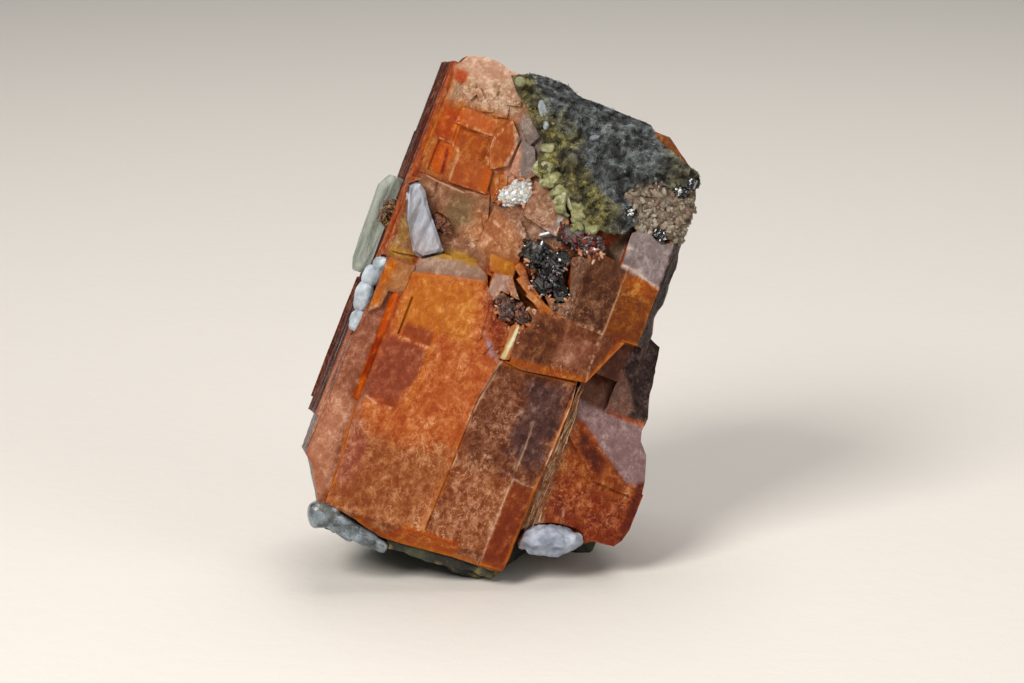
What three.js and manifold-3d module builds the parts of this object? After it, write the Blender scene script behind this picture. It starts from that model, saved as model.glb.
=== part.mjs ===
// A serandite specimen: parallel orange crystals grown side by side, with a dark crust on one shoulder and
// small white, black, red-brown and cream grains grown on it. Millimetres, +Z up, standing on z = 0.
//
// The crystals are drawn in their own frame: u runs to the right across the front face, v runs up the long
// axis, and w comes out of the front face towards the viewer. w = 0 is the front of the main slab.
// At the end the whole specimen is turned, leaned and set down as it stands.
import * as THREE from "three";
import { ConvexGeometry } from "three/addons/geometries/ConvexGeometry.js";
import { mergeVertices } from "three/addons/utils/BufferGeometryUtils.js";
import Module from "manifold-3d";

const wasm = await Module();
wasm.setup();

// How the specimen stands, in degrees.
const ROLL = 21;
const LEAN_BACK = 15;
const YAW = 6;

// Distance from the foot that the specimen rests on to the slab's front face, measured square to that face.
const FOOT_TO_FRONT = 4.7;

// Depths of the faces, measured from the slab's front.
const SLAB = 0;
const BACK = -26;
const UPPER_FACE = -1.8;
const LEFT_STRIP = -1;
const LILAC_LEDGE = -0.7;
const MID_BLOCK = 0.9;
const BOX_CRYSTAL = 0.6;
const RIGHT_CRYSTAL = -1.5;
const PINK_PLATE = 0.1;
const RIGHT_BAND = -1.6;
const TOP = 47.4;

// Clearance round each piece that is set into another.
const GAP = 0.3;

// Repeatable pseudo-random numbers from 0 to 1.
function randomFrom(seed) {
  let state = seed >>> 0;
  return () => {
    state = (state + 0x6d2b79f5) >>> 0;
    let t = Math.imul(state ^ (state >>> 15), 1 | state);
    t = (t + Math.imul(t ^ (t >>> 7), 61 | t)) ^ t;
    return ((t ^ (t >>> 14)) >>> 0) / 4294967296;
  };
}

// Smooth lumpy noise from about -1 to 1, for broken and granular surfaces.
function lumpy(x, y, z, seed) {
  const a = Math.sin(1.7 * x + 2.3 * y + 0.9 * seed) * Math.cos(2.1 * z - 1.3 * x + seed);
  const b = Math.sin(3.9 * y - 2.7 * z + 1.7 * seed) * Math.cos(3.3 * x + 1.1 * z - seed);
  const c = Math.sin(7.3 * x + 5.1 * z + seed) * Math.cos(6.7 * y - 4.3 * x + 2 * seed);
  return 0.5 * a + 0.35 * b + 0.25 * c;
}

// A closed three.js geometry as a solid that can be joined and cut.
function solid(geometry) {
  const bare = geometry.clone();
  bare.deleteAttribute("normal");
  bare.deleteAttribute("uv");
  const merged = mergeVertices(bare, 1e-4);
  return new wasm.Manifold(
    new wasm.Mesh({
      numProp: 3,
      vertProperties: new Float32Array(merged.attributes.position.array),
      triVerts: new Uint32Array(merged.index.array),
    }),
  );
}

function join(solids) {
  return solids.reduce((whole, next) => whole.add(next));
}

// The solid's largest body, without crumbs that a cut may leave.
function largest(whole) {
  return whole.decompose().reduce((best, body) => (body.volume() > best.volume() ? body : best));
}

function shapeOf(points) {
  return new THREE.Shape(points.map(([x, y]) => new THREE.Vector2(x, y)));
}

// A block with the outline [u, v], running in depth from back to front. leanU and leanV turn the front
// face about the outline's middle, in degrees: leanU tips its top away, leanV turns its right side away.
function block(outline, back, front, { leanU = 0, leanV = 0, chamfer = 0 } = {}) {
  const options = { depth: front - back - chamfer, bevelEnabled: chamfer > 0 };
  if (chamfer > 0) {
    const bevel = { bevelThickness: chamfer, bevelSize: chamfer, bevelOffset: -chamfer, bevelSegments: 1 };
    Object.assign(options, bevel);
  }
  const geometry = new THREE.ExtrudeGeometry(shapeOf(outline), options).rotateX(Math.PI / 2);
  const n = outline.length;
  const middle = outline.reduce(([x, y], [u, v]) => [x + u / n, y + v / n], [0, 0]);
  geometry.translate(-middle[0], -back, -middle[1]);
  // Only the front leans: each point moves in proportion to how far forward it is.
  const places = geometry.attributes.position;
  for (let i = 0; i < places.count; i++) {
    const forward = -places.getY(i) - back;
    const share = forward / (front - back);
    const slope = places.getZ(i) * Math.tan(THREE.MathUtils.degToRad(leanU));
    const turn = places.getX(i) * Math.tan(THREE.MathUtils.degToRad(leanV));
    places.setY(i, places.getY(i) + share * (slope + turn));
  }
  geometry.translate(middle[0], 0, middle[1]);
  return solid(geometry);
}

// An upright column with the cross-section [u, w].
function column(section, bottom, top) {
  const outline = section.map(([u, w]) => [u, -w]);
  const options = { depth: top - bottom, bevelEnabled: false };
  const geometry = new THREE.ExtrudeGeometry(shapeOf(outline), options);
  geometry.translate(0, 0, bottom);
  return solid(geometry);
}

// Everything on the outer side of the plane through a point [u, v, w] with the outward normal [u, v, w].
function beyond(point, normal) {
  const size = 200;
  const out = new THREE.Vector3(normal[0], -normal[2], normal[1]).normalize();
  const geometry = new THREE.BoxGeometry(size, size, size).translate(0, 0, size / 2);
  geometry.applyQuaternion(new THREE.Quaternion().setFromUnitVectors(new THREE.Vector3(0, 0, 1), out));
  geometry.translate(point[0], -point[2], point[1]);
  return solid(geometry);
}

function cut(whole, planes) {
  return planes.reduce((rest, [point, normal]) => rest.subtract(beyond(point, normal)), whole);
}

// A rounded lump with half-sizes [u, v, w], turned in its own (u, v) plane, with a lumpy surface.
function lump(centre, half, { turn = 0, rough = 0, seed = 1, detail = 3 } = {}) {
  const geometry = new THREE.IcosahedronGeometry(1, detail);
  const places = geometry.attributes.position;
  const place = new THREE.Vector3();
  for (let i = 0; i < places.count; i++) {
    place.fromBufferAttribute(places, i);
    const swell = 1 + rough * lumpy(1.6 * place.x, 1.6 * place.y, 1.6 * place.z, seed);
    place.multiplyScalar(swell);
    places.setXYZ(i, place.x * half[0], place.y * half[2], place.z * half[1]);
  }
  geometry.rotateY(-THREE.MathUtils.degToRad(turn));
  geometry.translate(centre[0], -centre[2], centre[1]);
  return solid(geometry);
}

// A slab of rough ground: the box [u0, u1] by [v0, v1] from back to front. Its lumpy front face lies no
// further forward than any of the falls, which are planes [[u, v, w], normal] as in beyond.
function roughGround([u0, u1], [v0, v1], back, front, lumpiness) {
  const { rough, cell, scale = 1, seed = 1, falls = [] } = lumpiness;
  const width = u1 - u0;
  const height = v1 - v0;
  const across = Math.round(width / cell);
  const up = Math.round(height / cell);
  const geometry = new THREE.BoxGeometry(width, front - back, height, across, 1, up);
  geometry.translate((u0 + u1) / 2, -(front + back) / 2, (v0 + v1) / 2);
  const places = geometry.attributes.position;
  for (let i = 0; i < places.count; i++) {
    if (places.getY(i) > -front + 1e-3) {
      continue;
    }
    const u = places.getX(i);
    const v = places.getZ(i);
    const depths = falls.map(([[pu, pv, pw], [nu, nv, nw]]) => pw - (nu * (u - pu) + nv * (v - pv)) / nw);
    const lumps = rough * lumpy(scale * u, scale * v, 0.7 * scale * (u + v), seed);
    places.setY(i, -Math.max(Math.min(front, ...depths) + lumps, back + 0.3));
  }
  return solid(geometry);
}

// A bundle of small flat-faced crystals round a middle [u, v, w], joined in one.
function bundle(centre, spread, size, count, seed) {
  const random = randomFrom(seed);
  const parts = [];
  for (let i = 0; i < count; i++) {
    const lengths = size.map((s) => s * (0.7 + 0.6 * random()));
    const crystal = new THREE.BoxGeometry(lengths[0], lengths[2], lengths[1]);
    crystal.rotateX(0.9 * (random() - 0.5));
    crystal.rotateY(Math.PI * random());
    crystal.rotateZ(0.9 * (random() - 0.5));
    const offset = spread.map((s) => s * 2 * (random() - 0.5));
    const u = centre[0] + offset[0];
    const v = centre[1] + offset[1];
    const w = centre[2] + offset[2];
    crystal.translate(u, -w, v);
    parts.push(solid(crystal));
  }
  return join(parts);
}

// The outline moved outwards by a distance.
function grown(outline, distance) {
  const area = THREE.ShapeUtils.area(outline.map(([x, y]) => new THREE.Vector2(x, y)));
  const side = area > 0 ? 1 : -1;
  return outline.map(([x, y], i) => {
    const [px, py] = outline[(i + outline.length - 1) % outline.length];
    const [nx, ny] = outline[(i + 1) % outline.length];
    const before = new THREE.Vector2(y - py, px - x).normalize();
    const after = new THREE.Vector2(ny - y, x - nx).normalize();
    const corner = before.clone().add(after);
    const stretch = Math.min(2 / Math.max(corner.lengthSq(), 1e-6), 1.6);
    return [x + side * corner.x * stretch * distance, y + side * corner.y * stretch * distance];
  });
}

// The solid's vertices as points.
function cornersOf(piece) {
  const { vertProperties, numProp } = piece.getMesh();
  const corners = [];
  for (let i = 0; i < vertProperties.length; i += numProp) {
    corners.push(new THREE.Vector3(...vertProperties.subarray(i, i + 3)));
  }
  return corners;
}

// The hollow that a small piece sits in: its convex hull, larger by the gap on every side.
function pocket(piece) {
  const corners = cornersOf(piece);
  const box = new THREE.Box3().setFromPoints(corners);
  const middle = box.getCenter(new THREE.Vector3());
  const span = box.getSize(new THREE.Vector3());
  const hull = new ConvexGeometry(corners).translate(-middle.x, -middle.y, -middle.z);
  hull.scale(1 + (2 * GAP) / span.x, 1 + (2 * GAP) / span.y, 1 + (2 * GAP) / span.z);
  return solid(hull.translate(middle.x, middle.y, middle.z));
}

// The main faces, each running back through the whole specimen.

const upperFace = block(
  [
    [-22.3, 22], [-22.3, 45.7], [-21.6, 46.9], [-20, TOP],
    [-18.5, TOP], [-17.2, 47], [-15, 47], [-13.5, 47.3],
    [-11.4, TOP], [-10, 46.5], [-8.1, 46.5], [-2.7, 46.5],
    [-0.2, 46.5], [1.1, 45.6], [2.75, 44.5], [3.6, 44.3],
    [4, 43.3], [4, 22],
  ],
  BACK,
  UPPER_FACE,
);

const leftStrip = block(
  [
    [-22.3, 25.6], [-22.65, 7.4], [-22.75, 4.5], [-21.8, 3.7], [-20.6, 1.7], [-19.7, 0.2], [-18.8, -0.4],
    [-18.8, 25.8],
  ],
  BACK,
  LEFT_STRIP,
);

const stripStep = block(
  [[-22.2, 25.4], [-22.1, 19.6], [-21.1, 20.65], [-20.9, 22.3], [-19.3, 22.4], [-19.3, 25.6]],
  LEFT_STRIP - 2,
  LEFT_STRIP + 0.45,
);

const grooveFlank = cut(
  block([[-20.4, 22.4], [-20.35, 11.4], [-19.3, 11.2], [-19.2, 22.4]], LEFT_STRIP - 2, SLAB),
  [[[-19.65, 16, SLAB], [-0.8, 0, 0.6]]],
);

const slabOutline = [
  [-19.4, 24.9], [-12.5, 26.6], [-11.7, 26], [-10.9, 25.3], [-5, 25.5], [-0.3, 25], [-0.3, 20.4], [0, 18],
  [-0.06, 15], [-0.3, 9.4], [-0.35, 0.4], [-1, 0.1], [-5.2, 0], [-11, -0.6], [-12.7, -1.2], [-15.8, 0.1],
  [-19.3, 0.7], [-19.3, 5], [-19.7, 8.9], [-19.85, 11.2], [-19.6, 17.4],
];
const mainSlab = cut(block(slabOutline, BACK, SLAB), [[[-8, 1.2, SLAB], [0.04, -0.72, 0.69]]]);

const lilacLedge = block(
  [[-19.4, 24], [-19.2, 26.9], [-17.3, 27.6], [-13.8, 27.9], [-12.4, 27.3], [-11.5, 25.5]],
  BACK,
  LILAC_LEDGE,
);

const midBlock = block(
  [[-7.85, 19.9], [-6, 19.7], [0.4, 20.8], [2.6, 25.8], [0.2, 26.05], [-2.4, 26], [-5.2, 26.1], [-7.6, 25.6]],
  BACK,
  MID_BLOCK,
  { leanU: 3, leanV: 2 },
);

const boxCrystal = join([
  block([[-3.4, 25.7], [-3.4, 33.2], [0.3, 32.95], [0.3, 25.7]], BACK, BOX_CRYSTAL + 0.25, { leanV: -4 }),
  block([[0.1, 25.8], [0.2, 32.9], [3.9, 32], [3.95, 26]], BACK, BOX_CRYSTAL, { leanV: 9 }),
]);

const pinkPlate = block(
  [[-0.4, 32.4], [-0.5, 36.2], [0.3, 36.9], [3.7, 36.8], [4, 35.8], [3.9, 31.5]],
  BACK,
  PINK_PLATE,
  { leanU: 7 },
);

const rightCrystal = block(
  [
    [0.3, 19.5], [-0.25, 4.8], [2, 4.9], [6, 5.6],
    [7, 6.3], [9.2, 6.6], [9.75, 7.4], [10.1, 8.7], [10.1, 12.4],
    [8, 12.8], [6, 14.1], [4, 15.5], [2, 16.9], [0.9, 17.4],
  ],
  BACK,
  RIGHT_CRYSTAL,
);

// The broken face above the right crystal slopes back from a line that runs down to the right.
const brokenFacet = cut(
  block(
    [
      [0.2, 16], [0.4, 21], [2.5, 26.2], [5.25, 27.6], [6.3, 27.1], [7.1, 26.8], [7.3, 24.6], [7.7, 21.7],
      [8.1, 19.6], [7.95, 18.3], [8.2, 17.3], [9.2, 16.2], [9.9, 13.7], [10.1, 11.7], [5, 12],
    ],
    BACK,
    RIGHT_CRYSTAL + 0.4,
  ),
  [[[0.9, 17.2, RIGHT_CRYSTAL], [0.22, 0.355, 1]]],
);

const greyFacet = cut(
  block([[3.6, 18.8], [3.9, 22.9], [5.4, 22.4], [6.5, 20.3], [6.2, 18.9]], BACK, RIGHT_CRYSTAL),
  [[[4.6, 20.6, RIGHT_CRYSTAL - 1.7], [0.5, 0.2, 1]]],
);

const rightBand = cut(
  block(
    [
      [2.5, 26], [2.5, 44.2], [3.6, 44.3], [4.1, 43.3], [4.6, 40.8], [4.75, 37.5], [5.25, 34.6], [5.25, 32.9],
      [5.2, 30.8], [4.9, 29.2], [5.25, 27.7], [5.3, 26],
    ],
    BACK,
    RIGHT_BAND + 1,
  ),
  [[[3.9, 30, RIGHT_BAND + 0.9], [1, 0.05, 0.7]]],
);

const ridge = block([[-5.4, 26.2], [-5.2, 31.8], [-3.2, 33], [-3.2, 26]], UPPER_FACE - 2, 0.25, { leanV: -6 });

// The striated left side: long laths side by side, each a small ledge.
const leftSection = [
  [-22.3, UPPER_FACE + 0.3], [-22.7, -2.6], [-22.5, -3], [-22.95, -4.8], [-22.7, -5.2], [-23.05, -7.4],
  [-22.85, -7.7], [-23.2, -9.8], [-22.95, -10.2], [-23.4, -12.6], [-23.1, -14.4], [-22.2, -16.4], [-20, -19],
  [-15, -19], [-15, -3],
];
const leftSide = join([
  column(leftSection, 8.2, 45.9),
  column([[-22.4, -1.1], [-22.75, -2.2], [-22.6, -4.2], [-18, -4.2], [-18, -2]], 5.2, 26),
  column([[-22.9, -8.2], [-23.55, -11.6], [-23.3, -13], [-20, -13], [-20, -8.2]], 33, 38.4),
  column([[-22.5, -12], [-23.6, -13.4], [-23.2, -14.9], [-20, -15], [-20, -12]], 9.5, 22.5),
]);

// Cleavage plates that stand a little proud of the faces: [outline, front, lean].
const plates = [
  [[[-20.5, 41.8], [-16.6, 41.9], [-16.4, 40.2], [-19, 40], [-20.5, 40.1]], UPPER_FACE + 0.3, { leanU: -3 }],
  [[[-22.1, 41.3], [-20.4, 41.2], [-20.3, 38.3], [-22.1, 38.4]], UPPER_FACE + 0.2, { leanV: 3 }],
  [
    [[-16.6, 41.8], [-15.4, 42.3], [-14.1, 40.9], [-14.3, 38], [-15.8, 37], [-16.6, 39]],
    UPPER_FACE + 0.55,
    { leanV: 6 },
  ],
  [[[-19.2, 37.3], [-15.5, 37.1], [-15.3, 34.6], [-19.2, 34.4]], UPPER_FACE + 0.4, { leanU: 3 }],
  [
    [[-22.2, 26], [-22.2, 34.3], [-17.1, 34], [-14.9, 34.7], [-13.9, 31.5], [-14.2, 27.5]],
    UPPER_FACE + 0.3,
    {},
  ],
  [
    [[-14.4, 27.5], [-14.1, 33.9], [-11.4, 33.6], [-10.2, 32.4], [-9.6, 27]],
    UPPER_FACE + 0.6,
    { leanV: -3 },
  ],
  [[[-12.8, 29.3], [-10, 29.2], [-9.9, 27.6], [-12.4, 27.7]], UPPER_FACE + 1.3, { leanU: 6 }],
  [[[-11.9, 27.8], [-10, 27.9], [-9.7, 25.4], [-11.2, 25.1], [-11.8, 26]], SLAB + 0.35, { leanU: 4 }],
  [[[-14.9, 44.3], [-13.6, 44.6], [-11.9, 42.6], [-13, 40.6], [-14.6, 42.2]], UPPER_FACE + 0.5, { leanV: 5 }],
  [[[-13.8, 41], [-12.4, 40.6], [-11.3, 38.2], [-12.6, 36.8], [-13.9, 38.3]], UPPER_FACE + 0.35, { leanV: -5 }],
  [[[-11.2, 37.6], [-8.2, 37.2], [-6.6, 35], [-7.4, 33.2], [-11.2, 34]], UPPER_FACE + 0.7, { leanU: 4 }],
  [[[-2.9, 0.25], [-2.9, 9.3], [-0.5, 9], [-0.5, 0.6]], SLAB + 0.15, {}],
  [[[-7.9, 19.3], [-0.5, 20.4], [-0.5, 17.6], [-4.2, 18.4], [-7.6, 18.2]], SLAB + 0.12, { leanU: -2 }],
  [[[-15, 24.2], [-12.4, 25.6], [-11.2, 24.6], [-10.8, 21], [-14.7, 20.4]], SLAB + 0.1, {}],
];

// Long thin crystals that lie across the middle of the specimen, turned by the angle in degrees.
const laths = [
  [[-8.7, 28.2], 3.4, 0.8, -38, 0.5],
  [[-7.7, 27.1], 4, 0.9, -33, 0.8],
  [[-6.6, 26.4], 3.2, 0.7, -20, 1],
  [[-9.6, 26.7], 2.2, 0.7, -52, 0.6],
  [[-5.9, 27.2], 2.2, 0.6, -44, 0.5],
];

function turned([u, v], length, width, degrees) {
  const origin = new THREE.Vector2();
  const angle = THREE.MathUtils.degToRad(degrees);
  const along = new THREE.Vector2(length / 2, 0).rotateAround(origin, angle);
  const across = new THREE.Vector2(0, width / 2).rotateAround(origin, angle);
  return [
    [u - along.x - across.x, v - along.y - across.y],
    [u + along.x - across.x, v + along.y - across.y],
    [u + along.x + across.x, v + along.y + across.y],
    [u - along.x + across.x, v - along.y + across.y],
  ];
}

// Small broken plates scattered over a patch [u0, u1] by [v0, v1], standing up to rise above the depth.
function scattered([u0, u1], [v0, v1], depth, rise, size, count, seed) {
  const random = randomFrom(seed);
  return Array.from({ length: count }, () => {
    const middle = [u0 + (u1 - u0) * random(), v0 + (v1 - v0) * random()];
    const length = size * (0.6 + 0.8 * random());
    const outline = turned(middle, length, length * (0.4 + 0.5 * random()), 180 * random());
    return block(outline, depth - 1, depth + rise * (0.3 + 0.7 * random()), { leanU: 8 * random() - 4 });
  });
}

const smallPlates = [
  ...scattered([-21.4, -15], [42.3, 44.4], UPPER_FACE, 0.35, 1.6, 10, 11),
  ...scattered([-15, -11.6], [34.8, 40], UPPER_FACE, 0.45, 1.7, 6, 12),
  ...scattered([-10.5, -7], [20.3, 24.6], SLAB, 0.25, 1.6, 6, 13),
  ...scattered([-21.6, -15], [28, 33.4], UPPER_FACE + 0.3, 0.25, 2.1, 6, 14),
  ...scattered([0.6, 3.4], [32.8, 36.2], PINK_PLATE, 0.25, 1.4, 5, 15),
];

// Grooves along the cleavage cracks and round the sunken windows: [outline, floor].
const grooves = [
  [[[-18.65, 18.7], [-18.65, 22.6], [-18.4, 22.6], [-18.4, 18.7]], SLAB - 0.5],
  [[[-19.9, 11.6], [-19.9, 18.6], [-15.1, 18.7], [-15.2, 11.9]], SLAB - 0.12],
  [[[-8.1, 19.5], [-7.95, 19.5], [-8.75, 15.5], [-9, 1.6], [-9.2, 1.6], [-8.95, 15.5]], SLAB - 0.4],
  [[[-3, 15.2], [-2.85, 15.2], [-2.85, 9.4], [-3, 9.4]], SLAB - 0.3],
  [[[-20, 39.9], [-16.6, 39.8], [-16.7, 37.5], [-19.9, 37.4]], UPPER_FACE - 0.15],
  [[[-21.6, 38], [-20.1, 38], [-20.1, 34.8], [-21.6, 34.8]], UPPER_FACE - 0.15],
  [[[-22.4, 34.45], [-17.1, 34.15], [-17.1, 34], [-22.4, 34.3]], UPPER_FACE - 0.1],
];

// The cross-section [u, w] of the whole specimen, with the broken steps of its back.
const wholeSection = [
  [-24, 3], [-24, -14], [-22.3, -16.6], [-21.6, -18.2], [-19.6, -18.9], [-17.6, -19.4], [-17.2, -21.2],
  [-12.4, -22.3], [-11.9, -23.6], [-5.2, -24.2], [-4.6, -22.4], [0.6, -21.6], [1.2, -19.8], [5.2, -18.2],
  [5.8, -16], [8.9, -13], [9.2, -9.4], [10.4, -5.6], [10.4, 3],
];

// Cleavage steps cut into the back: [outline, depth from which everything behind goes].
const backSteps = [
  [[[-24, 30], [-24, 50], [-9, 50], [-8.6, 36], [-13.4, 30.6]], -18.4],
  [[[-9, 38], [-9, 50], [6, 50], [6, 35.4]], -16.2],
  [[[-5, 20], [-4.8, 35], [6, 34], [6, 18.6]], -19.2],
  [[[1.6, 3], [1.2, 20], [12, 18], [12, 3]], -15.2],
  [[[-24, 10], [-24, 30], [-17.8, 29], [-17.4, 12]], -16.4],
];

// Where the underside rises to the left and to the back.
const UNDERSIDE_LEFT = [[-16.5, 1, -13], [-0.55, -0.62, -0.5]];

// The set-down of the whole specimen: turned, leaned back and moved so that its foot is on z = 0.
const stand = new THREE.Group();
stand.rotation.x = -THREE.MathUtils.degToRad(LEAN_BACK);
const roll = new THREE.Group();
roll.rotation.y = THREE.MathUtils.degToRad(ROLL);
const yaw = new THREE.Group();
yaw.rotation.z = THREE.MathUtils.degToRad(YAW);
yaw.position.y = -FOOT_TO_FRONT;
stand.add(roll);
roll.add(yaw);
stand.updateMatrixWorld(true);

// Everything below z = 0, in the crystals' own frame.
function belowTheFoot() {
  const size = 200;
  const geometry = new THREE.BoxGeometry(size, size, size).translate(0, 0, -size / 2);
  return solid(geometry.applyMatrix4(yaw.matrixWorld.clone().invert()));
}
const floor = belowTheFoot();

// The pieces that grow on the crystals or under them. Each one with an outline has a prism as its pocket.

const crustOutline = [
  [-16.6, 46.4], [-15.9, 45.4], [-14.9, 44.7], [-13, 42.7], [-11.9, 41.9], [-11.4, 41.2], [-11.6, 39.9],
  [-11.2, 38.6], [-9.9, 37.9], [-9, 38.4], [-8.2, 38.2], [-7.3, 37.3], [-6.4, 36.2], [-4.5, 35.8], [-3, 35.6],
  [-1.5, 36], [-0.7, 37.5], [-1.6, 38.6], [-2.5, 39.5], [-2.3, 41], [-0.6, 41.9], [1.6, 42], [3.4, 42.2],
  [4, 43.1], [3.5, 43.9], [2.1, 44.2], [-1.4, 45.5], [-2.4, 46.7], [-8.1, 46.8], [-10, 46.7], [-11.4, 47.4],
  [-13.5, 47.4], [-15, 47.2],
];
const CRUST_FRONT = 0.2;
const CRUST_BACK = -5;
const crust = roughGround([-17.4, 5], [35, 48], CRUST_BACK, CRUST_FRONT, {
  rough: 0.6,
  cell: 1.1,
  seed: 3,
  falls: [
    [[-6, 44.6, 0], [0.02, 0.75, 0.66]],
    [[2.6, 43, 0], [0.7, 0.1, 0.7]],
    [[-13.4, 44, 0], [-0.4, 0.3, 0.9]],
  ],
}).intersect(block(crustOutline, CRUST_BACK - 0.1, CRUST_FRONT + 2));

const creamOutline = [
  [-2.2, 39.6], [-2, 41], [-0.5, 41.6], [1.6, 41.7],
  [3.4, 41.9], [4.3, 41], [4.4, 38], [4.2, 37.2], [1.8, 37.1],
  [-0.2, 36.9], [-0.5, 37.6], [-1.3, 38.8],
];
const creamPatch = roughGround([-3, 5], [36, 43], -3.2, -0.2, {
  rough: 0.45,
  cell: 0.7,
  scale: 1.5,
  seed: 8,
  falls: [[[3.4, 39, -0.2], [1, 0, 0.7]]],
}).intersect(block(creamOutline, -3.3, 2));

const natroliteCentre = block(
  [
    [-22.5, 32.6], [-21.5, 29.5], [-20.6, 28], [-19.9, 26.9], [-19, 26.7], [-17.3, 27.9], [-18.8, 29.7],
    [-20.3, 31.4], [-21.1, 32.7], [-21.8, 33.2],
  ],
  -2.2,
  0.35,
  { leanU: -4, leanV: 6, chamfer: 0.35 },
);

const natroliteLeft = block(
  [
    [-24.6, 24.2], [-24.2, 23.2], [-23.2, 23.3], [-22.7, 24.4], [-22.6, 32.2], [-23.1, 33.1], [-24.2, 33.1],
    [-24.75, 32],
  ],
  -12.6,
  -8.2,
  { leanV: 4, chamfer: 0.4 },
);

const whiteBeads = join([
  lump([-22.4, 24.3, -1.8], [0.8, 1, 0.9], { rough: 0.1, seed: 4, detail: 1 }),
  lump([-22.9, 23.1, -2], [0.9, 1.25, 1], { rough: 0.1, seed: 5, detail: 1 }),
  lump([-22.8, 20.8, -2.1], [0.95, 1.5, 1], { rough: 0.1, seed: 6, detail: 2 }),
  lump([-22.6, 18.4, -2.3], [0.7, 1.4, 0.9], { rough: 0.1, seed: 7, detail: 1 }),
]);

const whiteCorner = join([
  lump([-18.2, -0.7, -2.6], [1.75, 1.55, 2.6], { rough: 0.12, seed: 9, detail: 2 }),
  lump([-15.6, -0.9, -3.2], [2.4, 1.1, 2.6], { turn: -12, rough: 0.12, seed: 10, detail: 2 }),
  lump([-13, -1.2, -3.2], [1.5, 0.75, 1.8], { turn: -8, rough: 0.12, seed: 11, detail: 1 }),
]);

const whitePebble = lump([2.9, 4.9, -1.1], [3.3, 1.5, 1.7], { turn: 19, rough: 0.09, seed: 12 });

const blackCluster = join([
  bundle([-7.9, 30.6, -0.6], [1.6, 1, 0.5], [1.2, 1.6, 1.1], 6, 21),
  bundle([-6.1, 29, -0.4], [1.1, 0.8, 0.4], [1, 1.6, 1.1], 5, 22),
  bundle([-4.9, 28, -0.2], [0.4, 0.3, 0.3], [0.8, 1.2, 0.9], 3, 23),
]);

const redCluster = bundle([-4.8, 33.5, -0.9], [1.5, 0.75, 0.5], [0.9, 1.5, 1], 9, 31);

const brownCluster = bundle([-8.1, 24.8, 0.2], [2.2, 0.6, 0.3], [0.9, 1.1, 0.9], 11, 41);

const brownGrains = bundle([-18.4, 30.3, -1.2], [0.7, 0.35, 0.3], [0.6, 0.8, 0.7], 6, 51);

const sideGrains = bundle([-23.2, 29.7, -7.7], [0.4, 0.9, 0.4], [0.7, 0.8, 0.8], 6, 61);

const whitePatch = join([
  lump([-12.3, 35.9, -1.6], [1.3, 0.9, 0.75], { turn: 35, rough: 0.25, seed: 15, detail: 1 }),
  lump([-13.2, 35.2, -1.7], [0.7, 0.6, 0.6], { rough: 0.2, seed: 16, detail: 1 }),
]);

const shardOutline = [[-8.15, 20.2], [-8.25, 23.3], [-7.95, 23.6], [-7.7, 20.3]];
const yellowShard = block(shardOutline, -0.6, 1.1, { leanV: 5 });

// Black crystals on and beside the crust, each a few grown together: [middle, half length, seed].
const flakes = [
  [[2.9, 42.8, -0.2], 0.4, 81],
  [[2.3, 41.8, -0.2], 0.4, 82],
  [[-1.7, 38, -0.2], 0.5, 83],
  [[2.5, 37.1, -0.2], 0.4, 84],
].map(([middle, half, seed]) => bundle(middle, [half, 0.15, 0.1], [0.6, 1, 0.8], 2, seed));

const matrixOutline = [
  [-18.9, -1.6], [-17, -2.1], [-12, -1.5], [-6, -0.8], [-2, -0.45], [-0.9, -0.6], [0.4, 1.6], [2.2, 4.6],
  [2.6, 6.4], [-8, 5], [-19.2, 3.4],
];
const MATRIX_FRONT = -2;
const MATRIX_BACK = -20.6;
const heelOutline = [
  [-1.6, 2.4], [3, 3.4], [8.4, 4.6], [9, 7.2], [8.1, 8.8], [3, 8.2], [0, 7.6], [-2.4, 5.2],
];
const HEEL_FRONT = -10.6;
const HEEL_BACK = -17;
const matrixPocket = join([
  block(grown(matrixOutline, GAP), -40, MATRIX_FRONT + GAP),
  block([[-30, -12], [-30, -1.2], [-6, -0.9], [-1.4, -0.7], [-1.4, -12]], -40, MATRIX_FRONT + GAP),
  block(grown(heelOutline, GAP), -40, HEEL_FRONT + GAP),
]);
const matrixLumps = Array.from({ length: 16 }, (_, i) => {
  const u = -17.5 + 4.6 * (i % 4);
  const w = -5 - 4.6 * Math.floor(i / 4);
  const v = -0.6 - 0.05 * u;
  return lump([u, v, w], [2.6, 1.3, 2.4], { rough: 0.16, seed: 70 + i, detail: 1 });
});
const matrixBody = join([
  join([block(matrixOutline, MATRIX_BACK, MATRIX_FRONT), ...matrixLumps]).intersect(
    block([[-19.3, -4], [-19.3, 3.2], [-8, 4.9], [2.5, 6.3], [4, 6.3], [4, -4]], MATRIX_BACK, MATRIX_FRONT),
  ),
  block(heelOutline, HEEL_BACK, HEEL_FRONT),
]);

// Each piece gives way to the pockets of the pieces before it, and the crystals give way to them all.
const settled = [];
function settle(name, piece, hollow = pocket(piece)) {
  const rest = settled.reduce((whole, earlier) => whole.subtract(earlier.hollow), piece);
  settled.push({ name, piece: largest(rest), hollow });
}
flakes.forEach((flake, i) => settle("black_flake_" + (i + 1), flake));
settle("crust", crust, block(grown(crustOutline, GAP), CRUST_BACK - GAP, 4));
settle("cream_patch", creamPatch, block(grown(creamOutline, GAP), -3.2 - GAP, 4));
settle("white_beads", whiteBeads);
settle("natrolite_centre", natroliteCentre);
settle("natrolite_left", natroliteLeft);
settle("white_corner", whiteCorner);
settle("white_pebble", whitePebble);
settle("black_cluster", blackCluster);
settle("red_cluster", redCluster);
settle("brown_cluster", brownCluster);
settle("brown_grains", brownGrains);
settle("side_grains", sideGrains);
settle("white_patch", whitePatch);
settle("yellow_shard", yellowShard);
settle("base_matrix", cut(matrixBody, [UNDERSIDE_LEFT]).subtract(floor), matrixPocket);

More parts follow.
